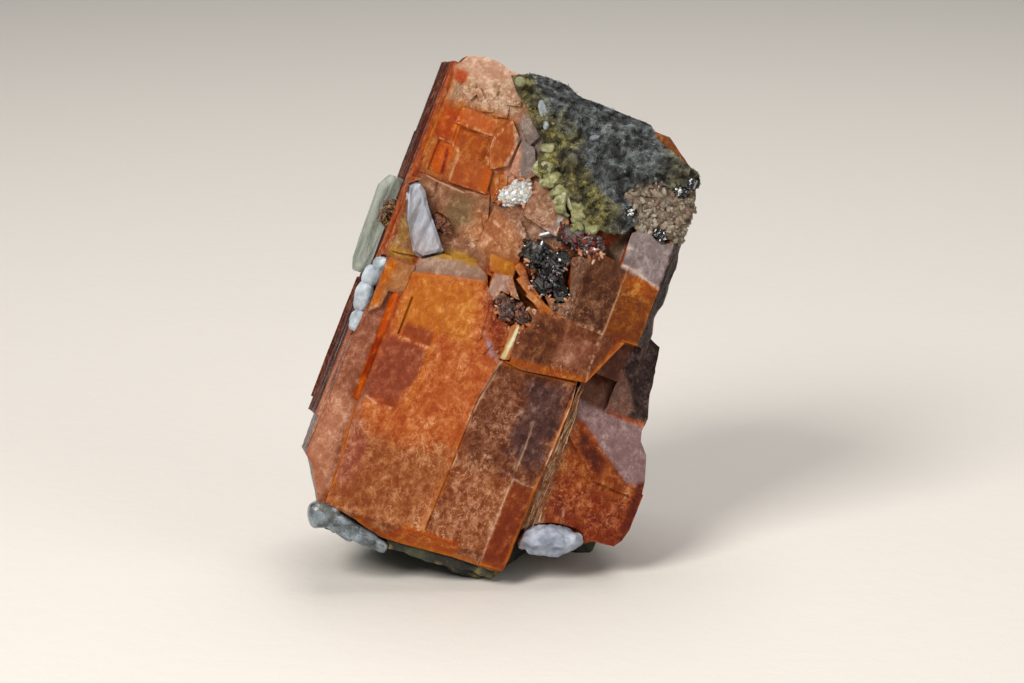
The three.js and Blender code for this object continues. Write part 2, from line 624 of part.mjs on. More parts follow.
let crystals = join([
  upperFace, leftStrip, stripStep, grooveFlank, mainSlab, lilacLedge, midBlock, boxCrystal, pinkPlate,
  rightCrystal, brokenFacet, greyFacet, rightBand, ridge, leftSide, ...smallPlates,
  ...plates.map(([outline, front, lean]) => block(outline, front - 2, front, lean)),
  ...laths.map(([middle, length, width, degrees, front]) =>
    block(turned(middle, length, width, degrees), -2.5, front, { leanU: 5, leanV: 3 }),
  ),
]);
crystals = crystals.intersect(column(wholeSection, -8, 60));
for (const [outline, depth] of grooves) {
  crystals = crystals.subtract(block(outline, depth, depth + 2));
}
for (const [outline, depth] of backSteps) {
  crystals = crystals.subtract(block(outline, -40, depth));
}
crystals = cut(crystals, [
  UNDERSIDE_LEFT,
  [[-18, 44.9, UPPER_FACE], [-0.1, 0.6, 0.8]],
  [[-10, 46.2, -13], [0, 0.8, -0.6]],
  [[9.6, 7, -3.5], [0.8, -0.6, -0.1]],
]);
crystals = crystals.subtract(floor);
for (const { hollow } of settled) {
  crystals = crystals.subtract(hollow);
}
settled.unshift({ name: "serandite", piece: largest(crystals) });

// Colours by the eye: [colour, roughness].
const finishes = {
  serandite: [0xb8652e, 0.32],
  crust: [0x55553a, 0.9],
  cream_patch: [0xa08c6c, 0.8],
  white_beads: [0xbcc6cc, 0.5],
  natrolite_centre: [0xc8c4cc, 0.5],
  natrolite_left: [0xa9b5a6, 0.5],
  white_corner: [0xaaacac, 0.5],
  white_pebble: [0xc9cfda, 0.6],
  black_cluster: [0x14181e, 0.15],
  red_cluster: [0x5a1408, 0.25],
  brown_cluster: [0x4a2a22, 0.6],
  brown_grains: [0x6e3a22, 0.6],
  side_grains: [0x6e4a28, 0.6],
  white_patch: [0xd0ccd4, 0.7],
  yellow_shard: [0xc8c08a, 0.5],
  base_matrix: [0x35382f, 0.85],
};

function toMesh(name, piece) {
  const { vertProperties, triVerts, numProp } = piece.getMesh();
  const places = new Float32Array((vertProperties.length / numProp) * 3);
  for (let i = 0; i < places.length / 3; i++) {
    places.set(vertProperties.subarray(i * numProp, i * numProp + 3), i * 3);
  }
  const geometry = new THREE.BufferGeometry();
  geometry.setAttribute("position", new THREE.BufferAttribute(places, 3));
  geometry.setIndex(new THREE.BufferAttribute(new Uint32Array(triVerts), 1));
  const [color, roughness] = finishes[name] ?? [0x14181e, 0.2];
  const finish = new THREE.MeshStandardMaterial({ color, roughness, metalness: 0 });
  const mesh = new THREE.Mesh(geometry, finish);
  mesh.name = name;
  return mesh;
}

for (const { name, piece } of settled) {
  yaw.add(toMesh(name, piece));
}

// The origin is the middle of the specimen's footprint.
const specimen = new THREE.Group();
specimen.add(stand);
specimen.updateMatrixWorld(true);
const extent = new THREE.Box3().setFromObject(specimen, true);
stand.position.set(-(extent.min.x + extent.max.x) / 2, -(extent.min.y + extent.max.y) / 2, 0);

export default specimen;
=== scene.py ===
# %% [markdown]
# # A serandite specimen
# Orange serandite crystals grew side by side from dark rock, and later minerals settled on them: a felt of green
# needles, white blades and beads, glossy black crystals and brown grains.
# This lesson dresses the plain faceted solids of that specimen. Each cell makes one piece or one finish.

# %% Load the solids
import math

import bpy
import numpy as np
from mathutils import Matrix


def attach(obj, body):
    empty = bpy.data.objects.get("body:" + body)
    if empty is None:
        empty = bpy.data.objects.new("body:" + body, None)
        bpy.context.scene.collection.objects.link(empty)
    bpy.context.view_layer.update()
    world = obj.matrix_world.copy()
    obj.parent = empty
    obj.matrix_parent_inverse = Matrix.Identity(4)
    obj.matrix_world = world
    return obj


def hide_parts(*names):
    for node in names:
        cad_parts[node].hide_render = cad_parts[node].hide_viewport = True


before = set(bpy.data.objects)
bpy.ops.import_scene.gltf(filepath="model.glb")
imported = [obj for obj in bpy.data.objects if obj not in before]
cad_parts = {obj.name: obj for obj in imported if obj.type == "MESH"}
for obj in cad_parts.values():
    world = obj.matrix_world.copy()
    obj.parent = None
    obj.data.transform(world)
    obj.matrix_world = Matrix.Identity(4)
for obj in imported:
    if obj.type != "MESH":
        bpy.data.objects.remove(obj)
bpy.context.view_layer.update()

# %% [markdown]
# The crystals lean, so everything on them is easiest to place in their own frame: u runs to the right across the
# broad orange face, v up the long axis and w out of that face, in millimetres. One rotation and one offset lead from
# the room to that frame, and the same two numbers go to the Mapping node of every material.

# %% The crystals' own frame
MM = 0.001
LEAN_BACK, ROLL, YAW = (math.radians(a) for a in (15, 21, 6))
FOOT_TO_FRONT = 4.7
SET_DOWN = np.array([0.7168, -11.4939, 0.0])


def turn_about(axis, angle):
    """The 3 by 3 rotation about axis 0, 1 or 2 by an angle, by the right-hand rule."""
    c, s = math.cos(angle), math.sin(angle)
    i, j = [(1, 2), (2, 0), (0, 1)][axis]
    m = np.eye(3)
    m[i, i] = m[j, j] = c
    m[i, j], m[j, i] = -s, s
    return m


TO_ROOM = turn_about(0, -LEAN_BACK) @ turn_about(1, ROLL) @ turn_about(2, YAW)
OFFSET = turn_about(2, YAW).T @ np.array([0, FOOT_TO_FRONT, 0]) - TO_ROOM.T @ SET_DOWN


def to_crystal(points):
    """Room metres to crystal millimetres: rotate back, add the offset, and name the axes u, v, w."""
    local = points / MM @ TO_ROOM + OFFSET
    return np.stack([local[:, 0], local[:, 2], -local[:, 1]], axis=1)


def to_room(uvw):
    """Crystal millimetres (u, v, w) to room metres."""
    local = np.stack([uvw[:, 0], -uvw[:, 2], uvw[:, 1]], axis=1) - OFFSET
    return local @ TO_ROOM.T * MM


print("the slab's lower right corner stands at", np.round(to_room(np.array([[-0.35, 0.4, 0.0]])) / MM, 1).tolist())

# %% [markdown]
# Natural surfaces need noise. Value noise puts a random number on every corner of a lattice and blends them, and a
# few octaves of it give broken rock. It works on whole arrays, so a hundred thousand points take a fraction of a
# second.

# %% Noise on whole arrays
def corner_value(ix, iy, iz, seed):
    """A repeatable number from 0 to 1 for each lattice corner, from mixed and multiplied whole numbers."""
    h = (ix * 73856093) ^ (iy * 19349663) ^ (iz * 83492791) ^ (seed * 2654435761)
    h = (h ^ (h >> 13)) & 0xFFFFFFFF
    h = (h * 1274126177) & 0xFFFFFFFF
    return ((h ^ (h >> 16)) & 0xFFFF) / 65535.0


def noise(points, size, seed=0):
    """Value noise from -1 to 1: lattice cells of the given size in mm, corners blended by the smoothstep curve."""
    p = points / np.asarray(size, float)
    base = np.floor(p).astype(np.int64)
    t = p - base
    t = t * t * (3 - 2 * t)
    total = 0
    for corner in np.ndindex(2, 2, 2):
        c = np.array(corner)
        weight = np.prod(np.where(c == 1, t, 1 - t), axis=1)
        total = total + weight * corner_value(*(base + c).T, seed)
    return 2 * total - 1


def rough(points, size, octaves=3, seed=0):
    """Noise of halving size and halving height, added up."""
    return sum(noise(points, np.asarray(size, float) / 2**k, seed + k) / 2**k for k in range(octaves))


sample = np.random.default_rng(1).uniform(0, 20, (1000, 3))
print("noise spread", round(float(noise(sample, 1.0).std()), 2))

# %% [markdown]
# The solids have few, large triangles. A fine surface needs small ones, so each solid is copied, its loose triangles
# are merged, and every edge that is too long is cut at its middle until none is. One pass looks at all triangles at
# once: a triangle with one, two or three long edges becomes two, three or four.

# %% Copies with fine triangles
def merged_copy(node_name):
    """Points in crystal mm and triangles of a solid, with points that share a place made one."""
    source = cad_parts[node_name]
    mesh = source.data
    points = np.empty(len(mesh.vertices) * 3)
    mesh.vertices.foreach_get("co", points)
    points = points.reshape(-1, 3)
    world = np.array(source.matrix_world)
    points = points @ world[:3, :3].T + world[:3, 3]
    mesh.calc_loop_triangles()
    triangles = np.empty(len(mesh.loop_triangles) * 3, np.int64)
    mesh.loop_triangles.foreach_get("vertices", triangles)
    keys = np.round(points / (0.002 * MM)).astype(np.int64)
    _, first, same = np.unique(keys, axis=0, return_index=True, return_inverse=True)
    triangles = same.reshape(-1)[triangles].reshape(-1, 3)
    alive = (triangles != np.roll(triangles, 1, axis=1)).all(axis=1)
    return to_crystal(points[first]), triangles[alive]


def refine(points, triangles, wanted, passes=40):
    """Cuts the longest side of each triangle at its middle, pass after pass, until no side is longer than wanted
    (a function of points) asks for. Cutting only the longest keeps the triangles well shaped."""
    goal = wanted(points)
    for _ in range(passes):
        edges = np.sort(triangles[:, [[0, 1], [1, 2], [2, 0]]].reshape(-1, 2), axis=1)
        # One number per edge, as single numbers are sorted much faster than pairs.
        keys, which = np.unique(edges[:, 0] * len(points) + edges[:, 1], return_inverse=True)
        first, second = np.divmod(keys, len(points))
        which = which.reshape(-1, 3)
        excess = np.linalg.norm(points[first] - points[second], axis=1) / np.minimum(goal[first], goal[second])
        longest = excess[which].argmax(axis=1)
        too_long = excess[which].max(axis=1) > 1
        if not too_long.any():
            break
        marked = np.zeros(len(keys), bool)
        marked[which[too_long, longest[too_long]]] = True
        new_index = np.full(len(keys), -1)
        new_index[marked] = len(points) + np.arange(marked.sum())
        middle = (points[first[marked]] + points[second[marked]]) / 2
        points = np.vstack([points, middle])
        goal = np.concatenate([goal, wanted(middle)])
        cut = new_index[which]
        count = (cut >= 0).sum(axis=1)
        pieces = [triangles[count == 0]]
        # Three cut sides: a middle triangle and three corners.
        three = count == 3
        a, b, c = triangles[three].T
        ab, bc, ca = cut[three].T
        pieces += [np.stack(t, 1) for t in ((a, ab, ca), (ab, b, bc), (ca, bc, c), (ab, bc, ca))]
        for k in range(3):
            # One cut side, from corner k to the next: two halves.
            one = (count == 1) & (cut[:, k] >= 0)
            p, q, r = triangles[one][:, [k, (k + 1) % 3, (k + 2) % 3]].T
            mid = cut[one][:, k]
            pieces += [np.stack([p, mid, r], 1), np.stack([mid, q, r], 1)]
            # Two cut sides that meet at corner k + 1: that corner, and the rest in two.
            two = (count == 2) & (cut[:, (k + 2) % 3] < 0)
            p, q, r = triangles[two][:, [k, (k + 1) % 3, (k + 2) % 3]].T
            mid, far = cut[two][:, k], cut[two][:, (k + 1) % 3]
            pieces += [np.stack([mid, q, far], 1), np.stack([p, mid, far], 1), np.stack([p, far, r], 1)]
        triangles = np.vstack(pieces)
    return points, triangles


def normals_of(points, triangles):
    """Each point's outward direction: the mean of its triangles' normals, weighted by their area."""
    p, q, r = (points[triangles[:, k]] for k in range(3))
    face = np.cross(q - p, r - p)
    total = np.zeros_like(points)
    for k in range(3):
        for axis in range(3):
            total[:, axis] += np.bincount(triangles[:, k], face[:, axis], len(points))
    return total / np.maximum(np.linalg.norm(total, axis=1, keepdims=True), 1e-12)


def make_piece(name, uvw, faces, material, replaces=(), smooth_under=30, attributes=None):
    """A mesh object in the room from crystal millimetres, riding on the specimen and smooth but for sharp edges."""
    mesh = bpy.data.meshes.new(name)
    mesh.from_pydata(to_room(uvw), [], np.asarray(faces).tolist())
    for label, values in (attributes or {}).items():
        colour = values.ndim == 2
        made = mesh.attributes.new(label, "FLOAT_COLOR" if colour else "FLOAT", "POINT")
        if colour:
            made.data.foreach_set("color", np.column_stack([values, np.ones(len(values))]).ravel())
        else:
            made.data.foreach_set("value", values.astype(float))
    mesh.shade_smooth()
    mesh.set_sharp_from_angle(angle=math.radians(smooth_under))
    mesh.materials.append(material)
    piece = bpy.data.objects.new(name, mesh)
    bpy.context.scene.collection.objects.link(piece)
    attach(piece, "root")
    if replaces:
        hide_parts(*replaces)
    print(name, len(mesh.polygons), "faces")
    return piece


# %% [markdown]
# Materials are node trees. One function turns a hex colour into linear light, and one adds a node with its settings
# and links, so each finish below reads as a list of steps.

# %% Colours and nodes
def linear(code):
    """An sRGB hex colour such as #C8703A as linear red, green and blue."""
    s = np.array([int(code[i : i + 2], 16) for i in (1, 3, 5)]) / 255
    return np.where(s <= 0.04045, s / 12.92, ((s + 0.055) / 1.055) ** 2.4)


def new_material(name):
    material = bpy.data.materials.new(name)
    material.use_nodes = True
    material.node_tree.nodes.clear()
    return material


def add(material, kind, inputs=None, **settings):
    """Adds a node. Values in inputs are numbers, colours, hex codes or output sockets to link from."""
    tree = material.node_tree
    node = tree.nodes.new("ShaderNode" + kind)
    for key, value in settings.items():
        if key == "stops":
            ramp = node.color_ramp
            while len(ramp.elements) < len(value):
                ramp.elements.new(0.5)
            for element, (place, shade) in zip(ramp.elements, value):
                element.position = place
                element.color = (*linear(shade), 1) if isinstance(shade, str) else (shade, shade, shade, 1)
        else:
            setattr(node, key, value)
    for key, value in (inputs or {}).items():
        socket = node.inputs[key]
        if isinstance(value, bpy.types.NodeSocket):
            tree.links.new(value, socket)
        elif isinstance(value, str):
            socket.default_value = (*linear(value), 1)
        else:
            socket.default_value = value
    return node


def crystal_coordinates(material, stretch=(1, 1, 1)):
    """The place on the specimen in the crystals' own millimetres, from Object coordinates: scale, turn and move."""
    place = add(material, "TexCoord").outputs["Object"]
    turned = add(material, "Mapping", {
        "Vector": place,
        "Scale": (1 / MM,) * 3,
        "Rotation": (LEAN_BACK, -ROLL, -YAW),
        "Location": tuple(OFFSET),
    })
    if stretch == (1, 1, 1):
        return turned.outputs[0]
    return add(material, "VectorMath", {0: turned.outputs[0], 1: stretch}, operation="MULTIPLY").outputs[0]


def pattern(material, place, scale, detail=4.0, roughness=0.6, low=0.35, high=0.65):
    """Noise at so many cells a millimetre, stretched so that low becomes 0 and high becomes 1."""
    made = add(material, "TexNoise", {
        "Vector": place, "Scale": scale, "Detail": detail, "Roughness": roughness,
    })
    return add(material, "MapRange", {
        "Value": made.outputs["Fac"], "From Min": low, "From Max": high,
    }, interpolation_type="SMOOTHSTEP").outputs[0]


def blend(material, factor, first, second, how="MIX"):
    """Two colours mixed by a factor."""
    node = add(material, "Mix", data_type="RGBA", blend_type=how, clamp_factor=True)
    tree = material.node_tree
    for index, value in ((0, factor), (6, first), (7, second)):
        if isinstance(value, bpy.types.NodeSocket):
            tree.links.new(value, node.inputs[index])
        elif isinstance(value, str):
            node.inputs[index].default_value = (*linear(value), 1)
        else:
            node.inputs[index].default_value = value
    return node.outputs[2]


def math_node(material, operation, first, second=0.0):
    """One sum on two numbers or sockets."""
    return add(material, "Math", {0: first, 1: second}, operation=operation, use_clamp=False).outputs[0]


def finish_surface(material, colour, roughness, height, depth_mm, ior=1.5, **settings):
    """The shader at the end of each finish, with a bump of the given depth from a height between 0 and 1."""
    bump = add(material, "Bump", {"Height": height, "Strength": 1.0, "Distance": depth_mm * MM})
    surface = add(material, "BsdfPrincipled", {
        "Base Color": colour, "Roughness": roughness, "Normal": bump.outputs[0], "IOR": ior, **settings,
    })
    output = add(material, "OutputMaterial", {"Surface": surface.outputs[0]})
    return output


# %% [markdown]
# The serandite is one grown mass, but its faces differ: orange slab, lilac broken faces whose lilac is partly a
# painted sheen, amber edges with a painted glow where light comes through, brown clouded parts. Each zone is a short
# outline on the face. A point's distance to that outline, roughened by noise, says how much of the zone's colour it
# takes. The distances are worked out once for all points and kept as a colour on the mesh, and the flaws come later
# from noise in the material.

# %% Zones of colour on the serandite
def distance_to_outline(uv, outline):
    """Signed distance in mm to a closed outline: least distance to its sides, negative inside by crossing count."""
    corners = np.asarray(outline, float)
    nearest = np.full(len(uv), np.inf)
    inside = np.zeros(len(uv), bool)
    for p, q in zip(corners, np.roll(corners, -1, axis=0)):
        side = q - p
        t = np.clip(((uv - p) @ side) / (side @ side), 0, 1)
        nearest = np.minimum(nearest, np.linalg.norm(uv - p - t[:, None] * side, axis=1))
        crosses = (p[1] > uv[:, 1]) != (q[1] > uv[:, 1])
        at = p[0] + (uv[:, 1] - p[1]) * side[0] / np.where(side[1] == 0, 1e-9, side[1])
        inside ^= crosses & (uv[:, 0] < at)
    return np.where(inside, -nearest, nearest)


def distance_to_line(uv, line):
    """Distance in mm to an open line through the given points."""
    corners = np.asarray(line, float)
    nearest = np.full(len(uv), np.inf)
    for p, q in zip(corners[:-1], corners[1:]):
        side = q - p
        t = np.clip(((uv - p) @ side) / (side @ side), 0, 1)
        nearest = np.minimum(nearest, np.linalg.norm(uv - p - t[:, None] * side, axis=1))
    return nearest


# Each zone: outline in (u, v), colour, softness of its edge in mm, wander of its edge in mm, amount of pale flaws,
# and amount of darker sound crystal.
ZONES = [
    # The whole face, then the big areas.
    ([(-30, -5), (-30, 50), (15, 50), (15, -5)], "#984E24", 0.5, 0.0, 0.35, 0.4),
    ([(-19.6, -2), (-19.5, 24.9), (-12.4, 26.7), (-8, 24), (-8.2, 19.6), (-8.9, 15.5), (-9.2, -2)],
     "#A95D2B", 0.1, 0.1, 0.45, 0.45),
    ([(-8.2, 20), (-8.9, 15.5), (-9.2, -2), (0, -2), (0.2, 20.5)], "#6F4026", 0.2, 0.2, 0.5, 0.6),
    ([(-8.6, 9), (-9.2, -2), (0, -2), (-0.2, 9)], "#844C2B", 1.2, 0.8, 0.65, 0.4),
    ([(-4.6, 19.4), (-4.2, 11.5), (-1, 11), (-0.6, 19.8)], "#5C3F39", 0.8, 0.9, 0.25, 0.6),
    ([(-19.4, 24.5), (-13, 25.9), (-11.4, 20), (-14.6, 20.4), (-19.2, 19.4)], "#B6742F", 0.6, 0.4, 0.25, 0.3),
    ([(-19.6, 9.5), (-14, 8.6), (-9.1, 10.5), (-9.3, -2), (-19.6, -2)], "#91562E", 1.2, 0.8, 0.5, 0.5),
    # Sunken windows with a dull red-brown look.
    ([(-19.6, 18.3), (-19.7, 11.8), (-16.6, 12.1), (-15.4, 14.3), (-15.1, 18.2)], "#904F34", 0.35, 0.35, 0.12, 0.3),
    ([(-18.3, 20), (-18.3, 18.8), (-15, 18.7), (-15, 20)], "#97502A", 0.25, 0.2, 0.15, 0.3),
    ([(-19.6, 9.8), (-19.7, 3), (-17.6, 3), (-17.4, 8)], "#8E5038", 0.7, 0.5, 0.35, 0.3),
    # Left strip.
    ([(-22.8, 25.8), (-22.9, 4), (-19.4, -1), (-19.5, 25.8)], "#905D46", 0.08, 0.05, 0.3, 0.35),
    ([(-22.8, 11), (-22.9, 4), (-19.4, -1), (-19.9, 11)], "#A9765C", 0.6, 0.4, 0.35, 0.3),
    ([(-22.1, 25.4), (-22.1, 20), (-21.1, 20.9), (-20.9, 22.4), (-19.5, 22.6), (-19.4, 25.3)], "#A5754A",
     0.15, 0.2, 0.35, 0.3),
    ([(-22, 25.5), (-22, 20.4), (-21.4, 20.9), (-21.3, 23.6), (-20.6, 25.1)], "#B26A1C", 0.15, 0.25, 0.15, 0.3),
    # The lit groove between the strip and the slab.
    ([(-20.5, 22.4), (-20.45, 11.3), (-19.85, 11.2), (-19.6, 17), (-19.5, 22.4)], "#A8540C", 0.06, 0.05, 0.05, 0.1),
    ([(-20.35, 17.8), (-20.3, 13.6), (-19.8, 13.6), (-19.8, 17.8)], "#8A3604", 0.15, 0.1, 0.0, 0.1),
    # Ledge above the slab, and the tan zone above it.
    ([(-22.3, 34.2), (-14.9, 34.6), (-11, 33.6), (-9.8, 27.6), (-14, 27.9), (-19.3, 26.8), (-22.3, 26)],
     "#8B6349", 0.4, 0.4, 0.4, 0.3),
    ([(-19.3, 25), (-19.2, 26.8), (-17.3, 27.5), (-13.8, 27.9), (-12.2, 27.2), (-12, 26.6)], "#A28878",
     0.12, 0.1, 0.2, 0.2),
    ([(-18.2, 27), (-15.2, 27.6), (-13.6, 27.6), (-13.7, 28.2), (-15.4, 28.4), (-18.4, 27.7)], "#B08C40",
     0.12, 0.15, 0.1, 0.2),
    ([(-22.3, 26.6), (-22.3, 25.6), (-19.6, 25.8), (-19.8, 26.8)], "#A87E3A", 0.25, 0.3, 0.2, 0.2),
    # Upper left: pale rim, orange windows.
    ([(-22.3, 34.4), (-22.3, 44.6), (-14, 44.6), (-12.8, 40), (-13.6, 34.6)], "#A4622C", 0.5, 0.5, 0.35, 0.35),
    ([(-22.2, 41.4), (-22.2, 38.2), (-20.3, 38.4), (-20.3, 41.3)], "#A85212", 0.3, 0.35, 0.15, 0.4),
    ([(-20, 40.1), (-19.9, 37.4), (-16.5, 37.5), (-16.6, 39.9)], "#A25A1C", 0.25, 0.3, 0.06, 0.3),
    ([(-20.4, 41.7), (-20.3, 40.3), (-16.7, 40.2), (-16.7, 41.8)], "#B66C3A", 0.25, 0.3, 0.15, 0.25),
    ([(-21.6, 38), (-21.7, 35.6), (-20.8, 34.9), (-19.9, 35), (-20.1, 38)], "#B86212", 0.2, 0.3, 0.08, 0.4),
    ([(-19.2, 37.2), (-19, 34.5), (-15.6, 34.8), (-15.5, 37)], "#A65E28", 0.25, 0.25, 0.2, 0.4),
    ([(-16.6, 41.8), (-15.4, 42.2), (-14.2, 40.9), (-14.4, 38.2), (-15.8, 37.2), (-16.6, 39)], "#A5602E",
     0.2, 0.15, 0.2, 0.3),
    ([(-15.2, 43.6), (-14.6, 41), (-12.6, 37.2), (-11.6, 38.6), (-11.8, 42), (-13.2, 43.6)], "#8C7C74",
     0.5, 0.5, 0.5, 0.4),
    ([(-22.4, 45.2), (-22.3, 42.2), (-15, 42.4), (-14.2, 44.6), (-16, 46.2), (-22, 46)], "#A28066", 0.5, 0.5, 0.6, 0.2),
    ([(-22.3, 48), (-22.3, 45.3), (-20.6, 44.9), (-16.4, 45.8), (-16.5, 48)], "#B08C76", 0.3, 0.3, 0.5, 0.25),
    ([(-22.3, 45.2), (-22.3, 44), (-21.1, 44), (-21.1, 45.2)], "#AD5410", 0.15, 0.15, 0.1, 0.3),
    ([(-20.7, 41.6), (-20.3, 41.6), (-19.8, 38.6), (-19.9, 35.2), (-20.4, 35.2), (-20.3, 38.4)], "#BC6416",
     0.15, 0.1, 0.08, 0.2),
    ([(-20.6, 37.6), (-20.3, 37.6), (-19.8, 35), (-20.2, 34.9)], "#86300C", 0.12, 0.1, 0.05, 0.2),
    ([(-16.4, 37.2), (-15.7, 37.2), (-15.2, 34.8), (-15.9, 34.7)], "#B4641A", 0.15, 0.1, 0.1, 0.2),
    ([(-13.9, 41.6), (-12.9, 42.6), (-11.6, 40.6), (-11.9, 37.6), (-12.7, 37.2), (-13.4, 39.6)], "#8C807C",
     0.3, 0.3, 0.2, 0.3),
    ([(-14.2, 40.3), (-13.4, 39.6), (-12.9, 36.9), (-13.9, 36.6), (-14.6, 37.9)], "#B48A74", 0.15, 0.15, 0.3, 0.2),
    # Haze in the tan zone, peach to the right and olive brown to the left.
    ([(-16.8, 32.6), (-15.6, 30.4), (-12.4, 28.2), (-9.9, 28.6), (-10, 31.4), (-12.5, 33.6)], "#A06C48",
     0.8, 0.6, 0.35, 0.25),
    ([(-18.6, 33.4), (-16.4, 33.8), (-15.2, 31.6), (-17.6, 30.2)], "#80684A", 0.7, 0.5, 0.25, 0.3),
    ([(-22.2, 29.6), (-21.2, 29.8), (-20.6, 27.6), (-21.8, 26.6)], "#94703C", 0.3, 0.3, 0.4, 0.3),
    # Middle: pale broken plates with amber between them.
    ([(-13.6, 34.2), (-11.6, 38.5), (-6.4, 36), (-6.2, 32), (-10.6, 31.8)], "#8E6850", 0.5, 0.5, 0.45, 0.4),
    ([(-7.9, 35.2), (-6.9, 35.3), (-6.5, 33.6), (-7.2, 32.6), (-7.7, 33.4)], "#A09C94", 0.12, 0.1, 0.1, 0.2),
    ([(-9, 33.4), (-8, 33.9), (-7.6, 32.8), (-8.7, 32.4)], "#A88C88", 0.12, 0.1, 0.1, 0.2),
    ([(-12.6, 29.4), (-9.8, 29.4), (-9.8, 27.6), (-12.4, 27.8)], "#B47A22", 0.25, 0.3, 0.15, 0.3),
    ([(-12.4, 27.9), (-12.1, 26), (-10.9, 25.4), (-11.4, 27.9)], "#9C4C0C", 0.2, 0.2, 0.1, 0.3),
    ([(-11.8, 27.7), (-10.1, 27.8), (-9.8, 25.3), (-11.1, 25.2), (-11.9, 26)], "#A5887A", 0.1, 0.1, 0.2, 0.2),
    ([(-10, 28.7), (-5.2, 27.4), (-5.2, 25.6), (-9.8, 26)], "#856048", 0.3, 0.3, 0.6, 0.3),
    ([(-9.2, 27.3), (-7.4, 27.5), (-5.6, 26.7), (-6, 25.8), (-8.6, 26)], "#9E6424", 0.25, 0.2, 0.25, 0.3),
    ([(-11.6, 25.2), (-10.8, 22.4), (-8.6, 20.2), (-8.2, 24.4)], "#8A401E", 0.4, 0.4, 0.65, 0.5),
    ([(-10.9, 22), (-9.7, 21.2), (-8.4, 19.6), (-9.4, 20)], "#AE9094", 0.15, 0.15, 0.2, 0.1),
    # Clear laths beside the black crystals.
    ([(-10.3, 28.4), (-9.4, 28.5), (-7.2, 26.9), (-4.9, 26.1), (-5, 25.2), (-7.6, 26), (-9.8, 27.4)], "#B07A4C",
     0.15, 0.1, 0.3, 0.1),
    ([(-6.4, 26.4), (-5, 26), (-5, 25.2), (-6.6, 25.7)], "#A8641A", 0.15, 0.15, 0.2, 0.1),
    # Block in the middle right.
    ([(-7.8, 19.7), (-0.2, 20.5), (0.6, 20.9), (2.7, 25.8), (-2.4, 26.1), (-7.9, 25.6)], "#764629", 0.1, 0.1, 0.4, 0.5),
    ([(-6.6, 24.8), (-6.6, 20.6), (-3.6, 20.6), (-3.6, 25.2)], "#66391A", 0.4, 0.4, 0.2, 0.5),
    ([(-3.3, 24.4), (-3.2, 21.6), (-0.4, 21.8), (-0.4, 24.6)], "#855740", 0.3, 0.3, 0.35, 0.4),
    # The strip along the block's lower edge is a painted amber glow where light comes through it.
    ([(-7.8, 20.5), (-7.6, 19.7), (0.5, 20.7), (0.6, 21.4)], "#96500C", 0.15, 0.15, 0.2, 0.3),
    ([(0.3, 20.8), (0.9, 20.8), (2.7, 25.8), (1.9, 25.8)], "#9E5C1C", 0.2, 0.15, 0.2, 0.2),
    # Box crystal at the upper right.
    ([(-5.2, 33), (-5.4, 26), (-3.2, 26), (-3.2, 33)], "#6A4A36", 0.2, 0.2, 0.6, 0.3),
    ([(-3.4, 33.3), (-3.4, 26), (0.3, 26), (0.3, 33)], "#583218", 0.15, 0.1, 0.35, 0.5),
    ([(0.3, 32.9), (0.3, 25.9), (4, 26), (3.9, 32.1)], "#80480A", 0.12, 0.1, 0.3, 0.5),
    ([(0.2, 33), (0.3, 31), (3.9, 30.6), (3.9, 32.2)], "#96520C", 0.4, 0.4, 0.2, 0.3),
    # Pinkish plate and the rough right-hand band.
    ([(-2.4, 33.2), (-0.8, 36.8), (0.4, 37), (0, 33)], "#75604E", 0.3, 0.3, 0.4, 0.4),
    ([(-0.5, 32.6), (-0.6, 36.3), (0.3, 37), (3.8, 36.9), (4.1, 32)], "#887C7C", 0.1, 0.1, 0.3, 0.25),
    ([(3.9, 45), (3.9, 26), (3.4, 24), (6, 19), (12, 19), (12, 45)], "#402E2B", 0.15, 0.15, 0.3, 0.5),
    ([(-2.2, 48), (-1.4, 45.6), (2.1, 44.3), (4, 44), (4.4, 48)], "#855429", 0.1, 0.1, 0.3, 0.4),
    # The broken faces right of the slab.
    ([(0.3, 20.8), (2.6, 25.9), (3.9, 26.2), (3.6, 23), (5, 19.4), (0.3, 17.4)], "#6C4838", 0.15, 0.15, 0.15, 0.3),
    ([(3.5, 19), (3.6, 23), (4.6, 23.2), (6.4, 20.2), (6, 18.8)], "#7C5C50", 0.2, 0.2, 0.2, 0.3),
    # The pale lilac of the next broken face is partly its own colour and partly a painted sheen.
    ([(0.4, 19), (0.7, 17.2), (2, 17), (4, 15.7), (6, 14.3), (8, 12.9), (10.4, 13), (10.4, 17), (8.4, 18.6), (5, 18.8)],
     "#8D7474", 0.2, 0.25, 0.3, 0.25),
    ([(0.8, 17.3), (2, 16.9), (4, 15.6), (6, 14.2), (8, 12.9), (9.4, 12.6), (10.4, 13.4), (11, 4), (-0.4, 4),
      (-0.2, 17)], "#864414", 0.1, 0.15, 0.5, 0.55),
    ([(2, 11), (10, 11), (10.6, 4), (1, 4)], "#7C340A", 1.0, 0.6, 0.5, 0.6),
    ([(0, 20), (-0.3, 4), (1.1, 4), (1.2, 17)], "#8A5E40", 0.3, 0.3, 0.5, 0.3),
    ([(2, 16.2), (5.2, 14.2), (5, 12.8), (2.2, 14.2)], "#602806", 0.4, 0.4, 0.1, 0.5),
    ([(9.2, 13.5), (9.3, 7.4), (11, 7), (11, 13.5)], "#66280A", 0.2, 0.15, 0.15, 0.4),
    # Lit lower edge and corner of the slab.
    ([(-11, 1.4), (-5.4, 1.5), (-5.4, 0), (-11, -0.8), (-15.9, 0.3), (-15.6, 0.7), (-12.6, -0.2)], "#A85814",
     0.15, 0.2, 0.25, 0.3),
    ([(-2.8, 9.2), (-2.9, 0.2), (-0.2, 0.2), (-0.3, 9)], "#83411A", 0.1, 0.05, 0.1, 0.3),
]

